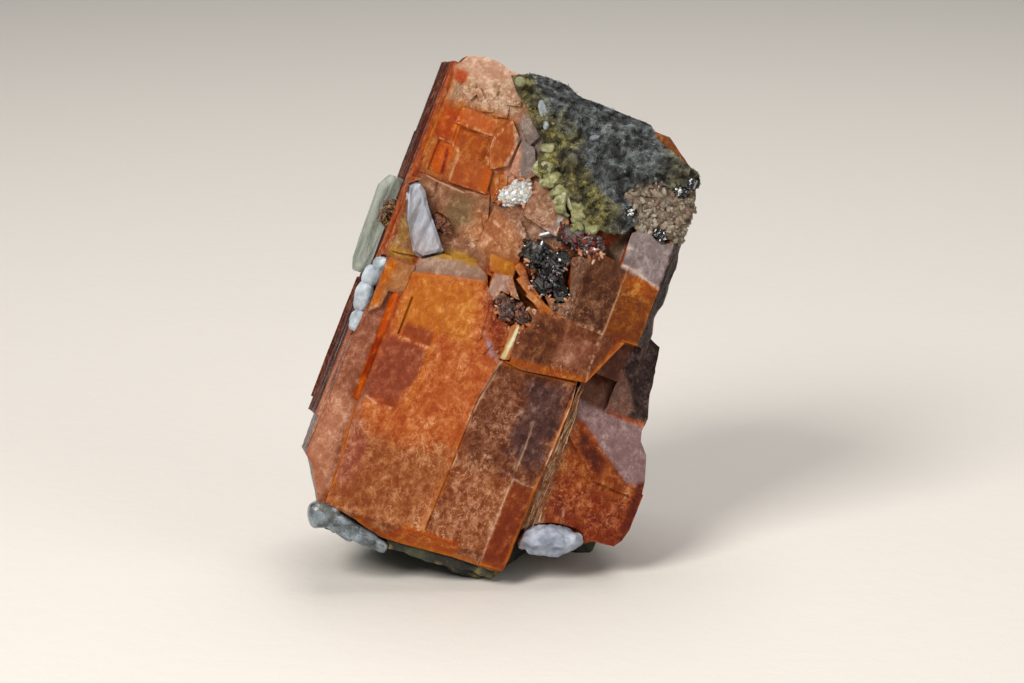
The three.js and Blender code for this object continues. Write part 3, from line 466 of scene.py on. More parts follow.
# Lines on the face, pale cracks and lit amber edges: points in (u, v) and half width in mm.
PALE_LINES = [
    ([(-18.4, 18.6), (-15.1, 18.45)], 0.09),
    ([(-19.3, 11.9), (-17.8, 11.4), (-16.4, 11.6)], 0.12),
    ([(-8, 19.8), (-8.4, 17.6), (-8.8, 15.5), (-8.9, 12.6)], 0.1),
    ([(-2.9, 15.2), (-2.86, 9.2), (-2.95, 5), (-2.9, 0.1)], 0.09),
    ([(-6.2, 10.6), (-4.4, 9.9), (-2.8, 9.4), (-0.6, 9.3)], 0.1),
    ([(-9.1, 10.4), (-8.8, 9.4), (-9, 8)], 0.08),
    ([(0.3, 16.8), (0.5, 12), (0.4, 7), (0.2, 5)], 0.12),
    ([(-0.15, 20), (-0.1, 17.4), (-0.3, 12)], 0.09),
    ([(-20.6, 40.2), (-18.6, 40.3), (-17, 40.15)], 0.06),
    ([(-20.6, 40.2), (-20.3, 41.7)], 0.05),
    ([(-16.6, 37.4), (-16.55, 40), (-15.4, 42.3), (-14.2, 40.9)], 0.07),
    ([(-15.3, 42.2), (-13.9, 39.6), (-12.6, 37.2)], 0.06),
    ([(-21.9, 38.2), (-20.2, 38.2), (-19.3, 37.5), (-19.1, 34.6)], 0.07),
    ([(-16.4, 38), (-15.2, 37.1), (-14.6, 36.2)], 0.12),
    ([(-22.2, 34.5), (-20.6, 34.1), (-17.4, 34), (-15, 34.8)], 0.08),
    ([(-0.3, 32.9), (1.2, 32.7), (3.9, 32)], 0.16),
    ([(-2.4, 26.05), (-0.2, 26), (0.3, 25.6)], 0.1),
    ([(0.2, 25.9), (0.2, 22), (0.4, 20.9)], 0.08),
    ([(0.25, 32.8), (0.3, 26)], 0.06),
    ([(-10.9, 32.4), (-9, 31.6), (-7.4, 32.2)], 0.1),
    ([(-14.8, 31.2), (-12, 30.2), (-10, 30.6)], 0.06),
    ([(-14, 32.6), (-11.4, 31.6), (-9.8, 32.6)], 0.05),
    ([(1.4, 8.6), (1.6, 6.4), (1.4, 5)], 0.08),
    ([(3, 8.4), (3.6, 7.2)], 0.07),
    ([(8.4, 12.4), (8.6, 10.4)], 0.08),
    ([(-16.6, 33.3), (-14.6, 32.6), (-12.9, 32.1)], 0.06),
    ([(-17.5, 28.7), (-14.3, 29.5), (-12.9, 31)], 0.06),
    ([(-13.9, 36.6), (-14.6, 37.9), (-14.2, 40.3)], 0.08),
    ([(-20.9, 43.6), (-18.6, 44.2), (-16.4, 43.9)], 0.1),
]
AMBER_LINES = [
    ([(-19.9, 11.2), (-19.75, 8.4), (-19.35, 5), (-19.15, 1)], 0.11),
    ([(-9.05, 12.2), (-9, 8.6), (-9.15, 4.6), (-9.3, 1.4)], 0.11),
    ([(-19.2, 24.75), (-12.5, 26.45)], 0.2),
    ([(-18.5, 22.6), (-18.52, 18.7)], 0.17),
    ([(-15.1, 20.6), (-15, 16), (-15.2, 12)], 0.12),
    ([(-7.9, 19.75), (-6, 19.6), (-0.4, 20.35)], 0.14),
    ([(-0.45, 10.4), (-0.4, 5), (-0.45, 0.4)], 0.14),
    ([(-15.6, 0.1), (-12.7, -1.1), (-11, -0.5), (-5.2, 0.15), (-0.6, 0.45)], 0.22),
    ([(-0.35, 18.6), (-0.15, 16.4), (-0.3, 13.4)], 0.08),
    ([(-22.3, 44.9), (-22.35, 41), (-22.5, 36)], 0.1),
    ([(0.4, 20.85), (2.6, 25.8)], 0.12),
    ([(4, 25.9), (3.95, 31.6)], 0.1),
    ([(2.4, 25.9), (3.8, 26)], 0.12),
    ([(-12.3, 26.4), (-11.9, 27.6)], 0.2),
]
print("zones", len(ZONES), "lines", len(PALE_LINES) + len(AMBER_LINES))

# %% The serandite's surface
body_points, body_triangles = merged_copy("serandite")
# Triangle sides in mm, chosen so that the piece stays under 200,000 triangles.
FINEST_SIDE, SIDE_GROWTH = 0.23, 2.5
FRONT_SIDE, STRIATED_SIDE, BACK_SIDE = 0.7, 0.9, 1.3
# The edges of the zones wander: each outline is moved by this noise, the same one for colour and for triangles.
WANDER_SIZE, WANDER_SEED, WANDER_HEIGHT = (0.9, 0.9, 3), 5, 0.7


def serandite_edge(points):
    """Wanted triangle side in mm: coarse on the back, fine on the front, and finest at a line or a sharp zone edge,
    from where it grows with the distance."""
    wanted = np.where(points[:, 2] > -5.5, FRONT_SIDE, np.where(points[:, 0] < -21, STRIATED_SIDE, BACK_SIDE))
    front = points[:, 2] > -3
    uv = points[front, :2]
    wander = rough(points[front], WANDER_SIZE, 3, WANDER_SEED) * WANDER_HEIGHT
    close = wanted[front]
    for outline, _, soft, wobble, _, _ in ZONES[1:]:
        if soft < 0.3:
            away = np.abs(distance_to_outline(uv, outline) + wobble * wander)
            close = np.minimum(close, FINEST_SIDE + 0.8 * soft + SIDE_GROWTH * away)
    for line, _ in PALE_LINES + AMBER_LINES:
        close = np.minimum(close, FINEST_SIDE + SIDE_GROWTH * distance_to_line(uv, line))
    wanted[front] = close
    return wanted


body_points, body_triangles = refine(body_points, body_triangles, serandite_edge)
body_normals = normals_of(body_points, body_triangles)
print("serandite", len(body_points), "points", len(body_triangles), "triangles")

# The solid's cracks are cut deep enough to print; on the real face they are closed hairlines, so their floors are
# raised to a tenth of a millimetre under the face.
CRACKS = [
    ([(-18.52, 22.6), (-18.52, 18.7)], 0.22),
    ([(-8.02, 19.5), (-8.85, 15.5), (-9.1, 1.6)], 0.12),
    ([(-2.92, 15.2), (-2.92, 9.4)], 0.1),
]
# The sunken windows lie only a little under the face as well: outline, height of the face, and depth.
WINDOWS = [
    ([(-20.05, 11.5), (-20.05, 18.75), (-15, 18.85), (-15.05, 11.8)], 0.0, 0.07),
    ([(-20.1, 40), (-16.5, 39.9), (-16.6, 37.4), (-20, 37.3)], -1.8, 0.1),
    ([(-21.7, 38.1), (-20, 38.1), (-20, 34.7), (-21.7, 34.7)], -1.8, 0.1),
]
for outline, face, depth in WINDOWS:
    inside = (distance_to_outline(body_points[:, :2], outline) < 0) & (np.abs(body_points[:, 2] - face + 0.2) < 0.19)
    body_points[inside, 2] = np.maximum(body_points[inside, 2], face - depth)
for line, depth in CRACKS:
    inside = (distance_to_line(body_points[:, :2], line) < 0.22) & (np.abs(body_points[:, 2] + 0.5) < 0.42)
    body_points[inside, 2] = np.maximum(body_points[inside, 2], -depth)


def paint(uvw, normals):
    """Colour, fleck and cloud amounts of each point: zone after zone laid over the last, by roughened distance.
    Unpainted faces are brown, darkest on the striated left side, which is partly a deeper red-brown and partly painted
    shade."""
    uv = uvw[:, :2]
    # Faces turned to the left are painted darker: partly a deeper red-brown, partly painted shade on the side away from
    # the light.
    left = np.clip((-normals[:, 0] - 0.4) / 0.3, 0, 1)[:, None]
    colour = linear("#84482A") * (1 - left) + linear("#572813") * left
    fleck = np.full(len(uvw), 0.3)
    cloud = np.full(len(uvw), 0.5)
    # Short walls between the front faces let light through, so an amber glow is painted on them.
    walls = (uvw[:, 2] > -2.4) & (normals[:, 2] <= 0.35) & (uvw[:, 0] > -21.4)
    front = (uvw[:, 2] > -6.5) & (normals[:, 2] > 0.1)
    wander = rough(uvw, WANDER_SIZE, 3, WANDER_SEED) * WANDER_HEIGHT
    for outline, code, soft, wobble, flecks, clouds in ZONES:
        distance = distance_to_outline(uv[front], outline) + wobble * wander[front]
        share = np.clip(0.5 - distance / (2 * soft), 0, 1)
        share = share * share * (3 - 2 * share)
        colour[front] += share[:, None] * (linear(code) - colour[front])
        fleck[front] += share * (flecks - fleck[front])
        cloud[front] += share * (clouds - cloud[front])
    colour[walls] = 0.35 * colour[walls] + 0.65 * linear("#BE6A1C")
    fleck[walls] = 0.12
    return colour, fleck, cloud


body_colour, body_fleck, body_cloud = paint(body_points, body_normals)
front_share = np.clip((body_normals[:, 2] - 0.1) / 0.2, 0, 1) * (body_points[:, 2] > -4)
pale_line = np.zeros(len(body_points))
amber_line = np.zeros(len(body_points))
for store, lines, seed in ((pale_line, PALE_LINES, 31), (amber_line, AMBER_LINES, 37)):
    wander = noise(body_points, 0.5, seed)
    shift = np.stack([noise(body_points, 0.8, seed + 1), noise(body_points, 0.8, seed + 2)], axis=1) * 0.07
    for points, half in lines:
        distance = distance_to_line(body_points[:, :2] + shift, points)
        width = half * (1 + 0.6 * wander)
        np.maximum(store, front_share * np.clip(1.4 - distance / width, 0, 1), out=store)

# %% [markdown]
# On the left side the crystals show long fine striations, because the prism faces grew in many narrow steps. On the
# front the cleavage is nearly flat, with low ripples, and the broken faces on the right are granular.

# %% Fine relief of the serandite
STRIATION_DEPTH = 0.09
side = np.clip((-body_normals[:, 0] - 0.5) / 0.3, 0, 1)
streaks = rough(body_points, (9, 14, 0.5), 3, 11)
ripple = 0.02 * rough(body_points, (0.5, 1.6, 0.7), 3, 17)
back = np.clip(-(body_points[:, 2] + 6) / 3, 0, 1) * (1 - side)
broken = np.clip((body_points[:, 0] - 3.6) / 0.5, 0, 1) * np.clip((body_points[:, 1] - 17) / 2, 0, 1)
granular = (0.12 * broken + 0.16 * back) * rough(body_points, 1.1, 4, 23)
body_points = body_points + body_normals * (STRIATION_DEPTH * side * streaks + ripple + granular)[:, None]
streak_tint = 1 + 0.45 * side * streaks + 0.25 * back * rough(body_points, 2.5, 3, 29)
body_colour = np.clip(body_colour * streak_tint[:, None], 0, 1)
print("deepest striation in mm", round(float(STRIATION_DEPTH * np.abs(side * streaks).max()), 3))

# %% [markdown]
# Serandite is half clear, and its colour comes from how far light travels in it. Each millimetre takes the same share
# of blue, green and red again, so twice the way squares the tint. Sound crystal sends light deep and looks dark
# and fiery; where tiny cleavage cracks turn the light back near the face, the way is short and it looks peach.
# The Gamma node raises a colour to a power, so one pattern drives it: a power over 1 for sound crystal and under 1
# for flaws. The flaws are soft clouds about a millimetre across and ridges of noise, thin threads that branch. A slow
# noise gathers them in areas, and the `fleck` amount of each zone moves their threshold, so a cloudier zone has
# more flaws and not paler ones.

# %% Serandite finish
def serandite_shader(material):
    """Tint raised to a power: 1.34 in plain crystal, up to 0.4 more where it is sound, down to about 0.6 in a flaw."""
    place = crystal_coordinates(material)
    tint, fleck, cloud, pale, amber = (
        add(material, "Attribute", attribute_name=label).outputs[kind] for label, kind in
        (("tint", "Color"), ("fleck", "Fac"), ("cloud", "Fac"), ("pale_line", "Fac"), ("amber_line", "Fac")))

    def times(first, second):
        return math_node(material, "MULTIPLY", first, second)

    def plus(first, second):
        return math_node(material, "ADD", first, second)

    # A drift of half a millimetre keeps every pattern from looking ruled.
    drift = add(material, "TexNoise", {"Vector": place, "Scale": 0.7, "Detail": 3.0}).outputs["Color"]
    drift = add(material, "VectorMath", {0: drift, 1: (0.5, 0.5, 0.5)}, operation="SUBTRACT").outputs[0]
    drift = add(material, "VectorMath", {0: drift, "Scale": 0.9}, operation="SCALE").outputs[0]
    place = add(material, "VectorMath", {0: place, 1: drift}, operation="ADD").outputs[0]
    upright = add(material, "VectorMath", {0: place, 1: (1.2, 1.1, 0.95)}, operation="MULTIPLY").outputs[0]

    areas = add(material, "TexNoise", {"Vector": place, "Scale": 0.28, "Detail": 3.0}).outputs["Fac"]
    amount = plus(fleck, times(plus(areas, -0.5), 1.3))
    clouds = add(material, "TexNoise", {
        "Vector": upright, "Scale": 1.1, "Detail": 8.0, "Roughness": 0.74}).outputs["Fac"]
    clouds = add(material, "MapRange", {
        "Value": plus(clouds, times(amount, 0.2)), "From Min": 0.5, "From Max": 0.78, "To Max": 1.0}).outputs[0]
    ridges = add(material, "TexNoise", {
        "Vector": upright, "Scale": 1.3, "Detail": 7.0, "Roughness": 0.7, "Lacunarity": 2.1, "Offset": 1.0, "Gain": 2.0,
    }, noise_type="RIDGED_MULTIFRACTAL").outputs["Fac"]
    threads = add(material, "MapRange", {"Value": ridges, "From Min": 1.95, "From Max": 2.5, "To Max": 1.1}).outputs[0]
    flawed = add(material, "MapRange", {"Value": amount, "From Min": 0.15, "From Max": 0.65}).outputs[0]
    threads = times(threads, flawed)
    # Fibres along the crystal, a fifth of a millimetre wide.
    stretched = add(material, "VectorMath", {0: place, 1: (4.2, 1, 0.5)}, operation="MULTIPLY").outputs[0]
    fibres = times(pattern(material, stretched, 1.5, 6, 0.65, 0.53, 0.68), times(fleck, 0.8))
    veil = math_node(material, "MAXIMUM", clouds, math_node(material, "MAXIMUM", threads, fibres))
    sound = times(pattern(material, upright, 0.75, 7, 0.7, 0.46, 0.58), cloud)

    power = plus(plus(1.34, times(sound, 0.4)), times(veil, -0.75))
    power = plus(plus(power, times(pale, -0.35)), times(amber, 0.1))
    colour = add(material, "Gamma", {"Color": tint, "Gamma": power}).outputs[0]
    colour = blend(material, times(math_node(material, "MAXIMUM", plus(veil, -0.5), 0.0), 0.14), colour, "#F2D6C0")
    colour = blend(material, times(pale, 0.45), colour, "#CDA78A")
    # Painted glow: along the amber lines the colour is blended towards bright amber, as on edges that light comes
    # through.
    colour = blend(material, times(amber, 0.65), colour, "#B8660E")
    gloss = add(material, "MapRange", {"Value": veil, "To Min": 0.15, "To Max": 0.42}).outputs[0]
    grooves = pattern(material, upright, 3.4, 6, 0.7, 0.3, 0.7)
    height = plus(times(veil, 0.3), times(grooves, 0.7))
    finish_surface(material, colour, gloss, height, 0.04, ior=1.67, **{
        "Subsurface Weight": 0.08, "Subsurface Scale": 0.0010, "Subsurface Radius": (1.0, 0.3, 0.08),
        "Specular IOR Level": 0.1,
    })


serandite_finish = new_material("serandite_crystal")
serandite_shader(serandite_finish)
serandite = make_piece(
    "serandite_crystals", body_points, body_triangles, serandite_finish, ["serandite"], 32,
    {"tint": body_colour, "fleck": body_fleck, "cloud": body_cloud, "pale_line": pale_line, "amber_line": amber_line},
)

# %% [markdown]
# The other minerals are small. Many of them are the same few shapes over and over, so two makers build them all:
# one carries a ring of points along an axis through a profile and so makes a needle, a blade or a stubby prism, and
# makes any number of them in one go. The other bends a grid of longitude and latitude into a rounded lump.

# %% Prisms and lumps
def unit(vectors):
    return vectors / np.maximum(np.linalg.norm(vectors, axis=-1, keepdims=True), 1e-12)


NEEDLE = [(-1, 1), (1, 0.35)]
BLADE = [(-1, 0.6), (-0.75, 1), (0.75, 1), (1, 0.6)]
GRAIN = [(-1, 0.45), (-0.35, 1), (0.45, 0.9), (1, 0.4)]


def prisms(centres, along, half_length, half_width, half_thick, profile, sides, seed):
    """Many prisms: point = centre + axis * length * t + ring(angle) * size * s, for each (t, s) of the profile."""
    n, rings = len(centres), len(profile)
    rng = np.random.default_rng(seed)
    along = unit(along)
    across = unit(np.cross(along, rng.normal(size=(n, 3))))
    third = np.cross(along, across)
    t, s = np.array(profile, float).T
    angle = 2 * math.pi * (np.arange(sides) + 0.5) / sides
    sizes = [np.broadcast_to(np.asarray(v, float), (n,))[:, None, None, None] for v in
             (half_length, half_width, half_thick)]
    points = (
        centres[:, None, None, :]
        + along[:, None, None, :] * sizes[0] * t[None, :, None, None]
        + across[:, None, None, :] * sizes[1] * np.outer(s, np.cos(angle))[None, :, :, None]
        + third[:, None, None, :] * sizes[2] * np.outer(s, np.sin(angle))[None, :, :, None]
    )
    k = np.arange(sides)
    step = (k + 1) % sides
    faces = []
    for ring in range(rings - 1):
        a, b = ring * sides + k, ring * sides + step
        faces += [np.stack([a, b, b + sides], 1), np.stack([a, b + sides, a + sides], 1)]
    fan = np.arange(1, sides - 1)
    top = (rings - 1) * sides
    faces += [np.stack([0 * fan, fan + 1, fan], 1), np.stack([0 * fan + top, fan + top, fan + 1 + top], 1)]
    faces = np.vstack(faces)
    all_faces = (faces[None] + (np.arange(n) * rings * sides)[:, None, None]).reshape(-1, 3)
    return points.reshape(-1, 3), all_faces, rings * sides


def lump(centre, half, turn=0.0, bumps=0.1, size=0.8, seed=0, steps=(26, 14), power=1.0):
    """A lump: point = centre + half sizes * (cos lat cos lon, cos lat sin lon, sin lat) to a power, turned in the
    face by an angle in degrees and pushed out by noise. A power under 1 makes it boxy."""
    lon = 2 * math.pi * np.arange(steps[0]) / steps[0]
    lat = np.linspace(-math.pi / 2, math.pi / 2, steps[1] + 1)[1:-1]
    lat, lon = [g.ravel() for g in np.meshgrid(lat, lon, indexing="ij")]
    ball = np.stack([np.cos(lat) * np.cos(lon), np.cos(lat) * np.sin(lon), np.sin(lat)], 1)
    ball = np.vstack([ball, [(0, 0, -1), (0, 0, 1)]])
    shaped = np.sign(ball) * np.abs(ball) ** power * np.asarray(half, float)
    c, s = math.cos(math.radians(turn)), math.sin(math.radians(turn))
    shaped = shaped @ np.array([[c, s, 0], [-s, c, 0], [0, 0, 1]])
    points = shaped + np.asarray(centre, float)
    points = points + unit(ball) @ np.array([[c, s, 0], [-s, c, 0], [0, 0, 1]]) * (
        bumps * rough(points, size, 3, seed))[:, None]
    n, m = steps[0], steps[1] - 1
    k = np.arange(n)
    step = (k + 1) % n
    rows = (np.arange(m - 1) * n)[:, None]
    a, b = (rows + k).ravel(), (rows + step).ravel()
    south, north = n * m, n * m + 1
    faces = np.vstack([
        np.stack([a, b, b + n], 1), np.stack([a, b + n, a + n], 1),
        np.stack([step, k, 0 * k + south], 1), np.stack([(m - 1) * n + k, (m - 1) * n + step, 0 * k + north], 1),
    ])
    return points, faces


def joined(parts):
    """One mesh from several: their points, faces moved up by the points before them, and colours."""
    start = np.cumsum([0] + [len(p[0]) for p in parts])
    return (np.vstack([p[0] for p in parts]),
            np.vstack([p[1] + s for p, s in zip(parts, start)]),
            np.vstack([p[2] for p in parts]))


def shades(count, codes, seed, spread=0.12):
    """A linear colour for each of count things: two of the codes mixed at random, made lighter or darker a little."""
    rng = np.random.default_rng(seed)
    table = np.array([linear(c) for c in codes])
    share = rng.uniform(0, 1, (count, 1))
    mixed = table[rng.integers(len(table), size=count)] * share
    mixed = mixed + table[rng.integers(len(table), size=count)] * (1 - share)
    return mixed * rng.uniform(1 - spread, 1 + spread, (count, 1))


def fine_copy(node_name, side_length, fill=0.3, bumps=0.05, size=0.8, seed=0, face=9.0):
    """A refined copy of a solid, roughened, and widened by fill where it sinks under the face around it, which closes
    the gap there and leaves its free part as slim as it is."""
    points, triangles = refine(*merged_copy(node_name), lambda places: np.full(len(places), side_length))
    out = normals_of(points, triangles)
    sunken = np.clip((face + 0.35 - points[:, 2]) / 0.3, 0, 1)
    points = points + (fill * sunken)[:, None] * out * [1, 1, 0]
    return points + out * (bumps * rough(points, size, 3, seed))[:, None], triangles, out


def on_surface(points, triangles, out, count, seed, least_out=0.2):
    """Places scattered evenly on the side that faces out, and the outward direction at each."""
    rng = np.random.default_rng(seed)
    p, q, r = (points[triangles[:, k]] for k in range(3))
    area = np.linalg.norm(np.cross(q - p, r - p), axis=1) * (out[triangles[:, 0], 2] > least_out)
    chosen = rng.choice(len(triangles), count, p=area / area.sum())
    return p[chosen] + (q[chosen] - p[chosen]) * 0.4 + (r[chosen] - p[chosen]) * 0.3, out[triangles[chosen, 0]]


def mineral(name, roughness, scale, contrast, depth, ior=1.5, **settings):
    """A finish from the mesh's own tint, darkened and lightened by noise at two scales, with a bump from both."""
    material = new_material(name)
    place = crystal_coordinates(material)
    tint = add(material, "Attribute", attribute_name="tint").outputs["Color"]
    coarse = pattern(material, place, scale, 6, 0.65, 0.35, 0.65)
    fine = pattern(material, place, scale * 4.3, 4, 0.6, 0.3, 0.7)
    mixed = math_node(material, "ADD", math_node(material, "MULTIPLY", coarse, 0.6),
                      math_node(material, "MULTIPLY", fine, 0.4))
    light = add(material, "MapRange", {"Value": mixed, "To Min": 1 - contrast, "To Max": 1 + contrast * 0.6}).outputs[0]
    colour = add(material, "VectorMath", {0: tint, "Scale": light}, operation="SCALE").outputs[0]
    gloss = add(material, "MapRange", {
        "Value": fine, "To Min": roughness * 0.8, "To Max": min(1, roughness * 1.3)}).outputs[0]
    finish_surface(material, colour, gloss, mixed, depth, ior, **settings)
    return material


# %% [markdown]
# The crust is a felt of aegirine needles. It is mustard olive where it is thin and slate blue-grey along the top, with
# a chalky yellow-green rim where it meets the orange crystal. The ground is a rough copy of the solid, and thousands
# of three-sided needles lie on it, combed by a slowly changing direction so that they form bundles.

# %% Crust
def felt_colour(points, seed):
    """Olive below the diagonal of the shoulder, slate above it, each mixed from dark to light by noise."""
    u, v = points[:, 0], points[:, 1]
    above = ((u + 13.5) * 9.5 + (v - 45.3) * 11) / math.hypot(9.5, 11) + 1.1 * rough(points, 1.8, 3, 51)
    slate = np.clip((above + 0.2) / 1.6, 0, 1) * np.clip(1.25 - (u + 2) / 4, 0.35, 1)
    light = np.clip(0.5 + 0.35 * rough(points, 1.4, 2, seed) + 0.65 * rough(points, 0.4, 2, seed + 3), 0, 1)[:, None]
    olive = linear("#2B2610") * (1 - light) + linear("#979050") * light
    gold = np.clip((rough(points, 1.3, 3, 57) - 0.1) / 0.5, 0, 1)[:, None] * 0.6
    olive = olive + gold * (linear("#8A7A2A") * (0.3 + light) - olive)
    grey = linear("#15181A") * (1 - light) + linear("#7E888B") * light
    return olive + slate[:, None] * (grey - olive)


# The crust's lower rim on the face. Needles keep clear of it, and chalky lumps stand along it.
RIM = [(-11.3, 40.9), (-11.2, 39.6), (-10.6, 38.6), (-9.6, 37.7), (-8.6, 37.3), (-7.6, 36.4), (-6.6, 35.4),
       (-5.9, 34.8), (-4.6, 35.3), (-3.4, 35.5)]
crust_points, crust_triangles, crust_out = fine_copy("crust", 0.3, 0.3, 0.0, 1, 0)
top_share = np.clip((crust_out[:, 2] - 0.1) / 0.5, 0, 1)


def chunk_relief(points):
    """Folded noise, 1 - 2|n|, which makes round chunks with sharp grooves between them, in mm of height."""
    return 0.32 * (1 - 2 * np.abs(rough(points, (1.5, 0.9, 1.2), 3, 61))) - 0.15


relief = chunk_relief(crust_points) + 0.3 * rough(crust_points, 0.42, 2, 67)
crust_points[:, 2] += top_share * relief
# Painted shade and light: the ground is painted darker in the grooves between the chunks and lighter on their tops.
painted_groove_shade = np.clip(0.7 + 2.0 * relief, 0.25, 1.7)[:, None]
crust_parts = [(crust_points, crust_triangles, np.clip(felt_colour(crust_points, 53) * painted_groove_shade, 0, 1))]
places, out = on_surface(crust_points, crust_triangles, crust_out, 5200, 71, 0.1)
free = distance_to_line(places[:, :2], RIM) > 0.45
places, out = places[free], out[free]
comb = 2 * math.pi * noise(places, 2.4, 73)
direction = np.stack([np.cos(comb), np.sin(comb), 0 * comb], 1)
direction = direction - out * (direction * out).sum(1, keepdims=True)
direction = unit(direction) + out * np.random.default_rng(74).uniform(-0.2, 0.35, (len(out), 1))
direction += 0.45 * np.random.default_rng(75).normal(size=out.shape)
lengths = np.random.default_rng(76).uniform(0.08, 0.24, len(places))
needle_points, needle_faces, each = prisms(places + out * 0.04, direction, lengths, 0.045, 0.045, NEEDLE, 3, 77)
# The needles take the same painted shade in the grooves and painted light on the chunk tops.
needle_painted_shade = np.clip(1.0 + 1.1 * chunk_relief(places), 0.4, 1.7)[:, None]
needle_tint = felt_colour(places, 53) * needle_painted_shade * np.random.default_rng(78).uniform(0.6, 2.1, (len(places), 1))
crust_parts.append((needle_points, needle_faces, np.repeat(np.clip(needle_tint, 0, 1), each, axis=0)))

rng = np.random.default_rng(81)
# Large lumps along the rim: place, half length, half width and turn in degrees. Small ones follow the rim's line.
rim_lumps = [(-10.8, 39.6, 1.5, 0.95, 75), (-9.9, 38.3, 1.1, 0.8, 20), (-8.5, 37.6, 1.0, 0.75, 60),
             (-7.3, 37.2, 1.3, 0.75, -40), (-6.0, 36.2, 1.4, 0.75, -42), (-4.8, 35.4, 1.0, 0.6, -60)]
SMALL_LUMPS = 14
for k in range(SMALL_LUMPS):
    at = k / (SMALL_LUMPS - 1) * (len(RIM) - 1)
    i = min(int(at), len(RIM) - 2)
    spot = np.array(RIM[i]) + (at - i) * (np.array(RIM[i + 1]) - np.array(RIM[i])) + rng.normal(-0.1, 0.3, 2)
    big = rng.uniform(0.25, 0.5)
    rim_lumps.append((*spot, big * 1.4, big * 0.8, rng.uniform(-90, 90)))
for k, (u, v, half_long, half_wide, turn) in enumerate(rim_lumps):
    spot = (u, v, -0.75 + rng.uniform(0, 0.35))
    shape = lump(spot, (half_long, half_wide, 0.75), turn, 0.26, 1.1, 100 + k, (28, 18), 0.62)
    light = np.clip(0.5 + 0.9 * rough(shape[0], 0.5, 3, 300 + k), 0, 1)[:, None]
    tint = linear("#85884E") * (1 - light) + shades(1, ["#BFC28C", "#ABAD70", "#D4D6AE", "#B8B484"], 90 + k) * light
    crust_parts.append((*shape, tint))
# Pale grains that lie on the felt.
for spot, half, turn, code in [
    ((-16.2, 46.1, -0.5), (0.55, 0.5, 0.5), 0, "#A0A37A"), ((-13.1, 44.2, 0.2), (1.05, 0.42, 0.35), -58, "#A4B0B6"),
    ((-12.4, 43.1, 0.2), (0.6, 0.3, 0.3), -70, "#B2BDC2"), ((-7.4, 43.6, 0.3), (0.5, 0.26, 0.35), 30, "#8C98A4"),
]:
    shape = lump(spot, half, turn, 0.08, 0.4, int(40 - spot[0]), (18, 10))
    crust_parts.append((*shape, np.tile(linear(code), (len(shape[0]), 1))))
crust_points, crust_faces, crust_tint = joined(crust_parts)
# Fine needles scatter light at every angle, so the felt is dull.
felt = mineral("aegirine_felt", 0.7, 2.9, 0.55, 0.16, 1.7)
make_piece("aegirine_crust", crust_points, crust_faces, felt, ["crust"], 40, {"tint": crust_tint})


# %% [markdown]
# Next to the crust a patch of cream crystals stands on the shoulder: stubby blades half a millimetre long, thrown
# across each other. The real patch is yellower towards the crust and pinker below; here each blade's colour is mixed
# at random from one list.

# %% Cream blades and the other clusters
def cluster(name, node_name, material, ground, ground_code, count, sizes, profile, sides, codes, seed,
            fill=0.1, lying=0.5, least_out=-0.2):
    """A cluster: a rough copy of the solid as ground, and many small crystals on it that point half outwards."""
    points, triangles, out = fine_copy(node_name, ground, fill, 0.08, 0.6, seed)
    rng = np.random.default_rng(seed)
    places, away = on_surface(points, triangles, out, count, seed + 1, least_out)
    direction = rng.normal(size=away.shape) + away * (1 - lying) * 1.6
    length = rng.uniform(*sizes[0], count)
    shape, faces, each = prisms(places - away * 0.05, direction, length, length * sizes[1], length * sizes[2],
                                profile, sides, seed + 2)
    ground_tint = np.tile(linear(ground_code), (len(points), 1))
    ground_tint *= 1 + 0.3 * rough(points, 0.7, 2, seed + 3)[:, None]
    tint = np.repeat(shades(count, codes, seed + 4, 0.25), each, axis=0)
    points, faces, tint = joined([(points, triangles, ground_tint), (shape, faces, tint)])
    return make_piece(name, points, faces, material, [node_name], 30, {"tint": np.clip(tint, 0, 1)})


cream = mineral("cream_feldspar", 0.5, 2.2, 0.25, 0.06, 1.53)
cluster("cream_blades", "cream_patch", cream, 0.3, "#6E5F4A", 420, ((0.25, 0.62), 0.62, 0.42), GRAIN, 5,
        ["#6E614C", "#877665", "#918A78", "#A79F92", "#5C4C38", "#8E7468"], 120, 0.25, 0.5, 0.1)
# Black crystals with a wet gloss: almost no colour, sharp bright reflections.
black = mineral("black_aegirine", 0.13, 1.5, 0.3, 0.02, 1.75, **{"Coat Weight": 0.4, "Coat Roughness": 0.05})
cluster("black_crystals", "black_cluster", black, 0.3, "#060506", 110, ((0.28, 0.75), 0.42, 0.3), BLADE, 6,
        ["#040405", "#07080A", "#0B131B", "#1C0B06"], 130, 0.12, 0.35)
garnet = mineral("dark_red_crystals", 0.18, 1.8, 0.35, 0.03, 1.7, **{"Coat Weight": 0.4, "Coat Roughness": 0.08})
cluster("red_crystals", "red_cluster", garnet, 0.3, "#2E0A08", 120, ((0.22, 0.5), 0.5, 0.35), BLADE, 5,
        ["#4A0C08", "#2A0A08", "#84240E", "#2C1614"], 140, 0.2)
brown = mineral("brown_grains_finish", 0.3, 2.4, 0.35, 0.04, 1.6)
cluster("brown_crystals", "brown_cluster", brown, 0.3, "#34160C", 260, ((0.14, 0.32), 0.75, 0.65), GRAIN, 6,
        ["#3E1C10", "#5E3018", "#7E4C30", "#2A120C"], 150)
cluster("brown_grain_group", "brown_grains", brown, 0.3, "#4A1E10", 110, ((0.12, 0.28), 0.75, 0.65), GRAIN, 6,
        ["#6D381F", "#8A4E26", "#4A2010"], 160, 0.05)
cluster("side_grain_group", "side_grains", brown, 0.3, "#4A3018", 110, ((0.12, 0.28), 0.75, 0.65), GRAIN, 6,
        ["#6A4620", "#8A6A34", "#4A2A14"], 170, 0.05)
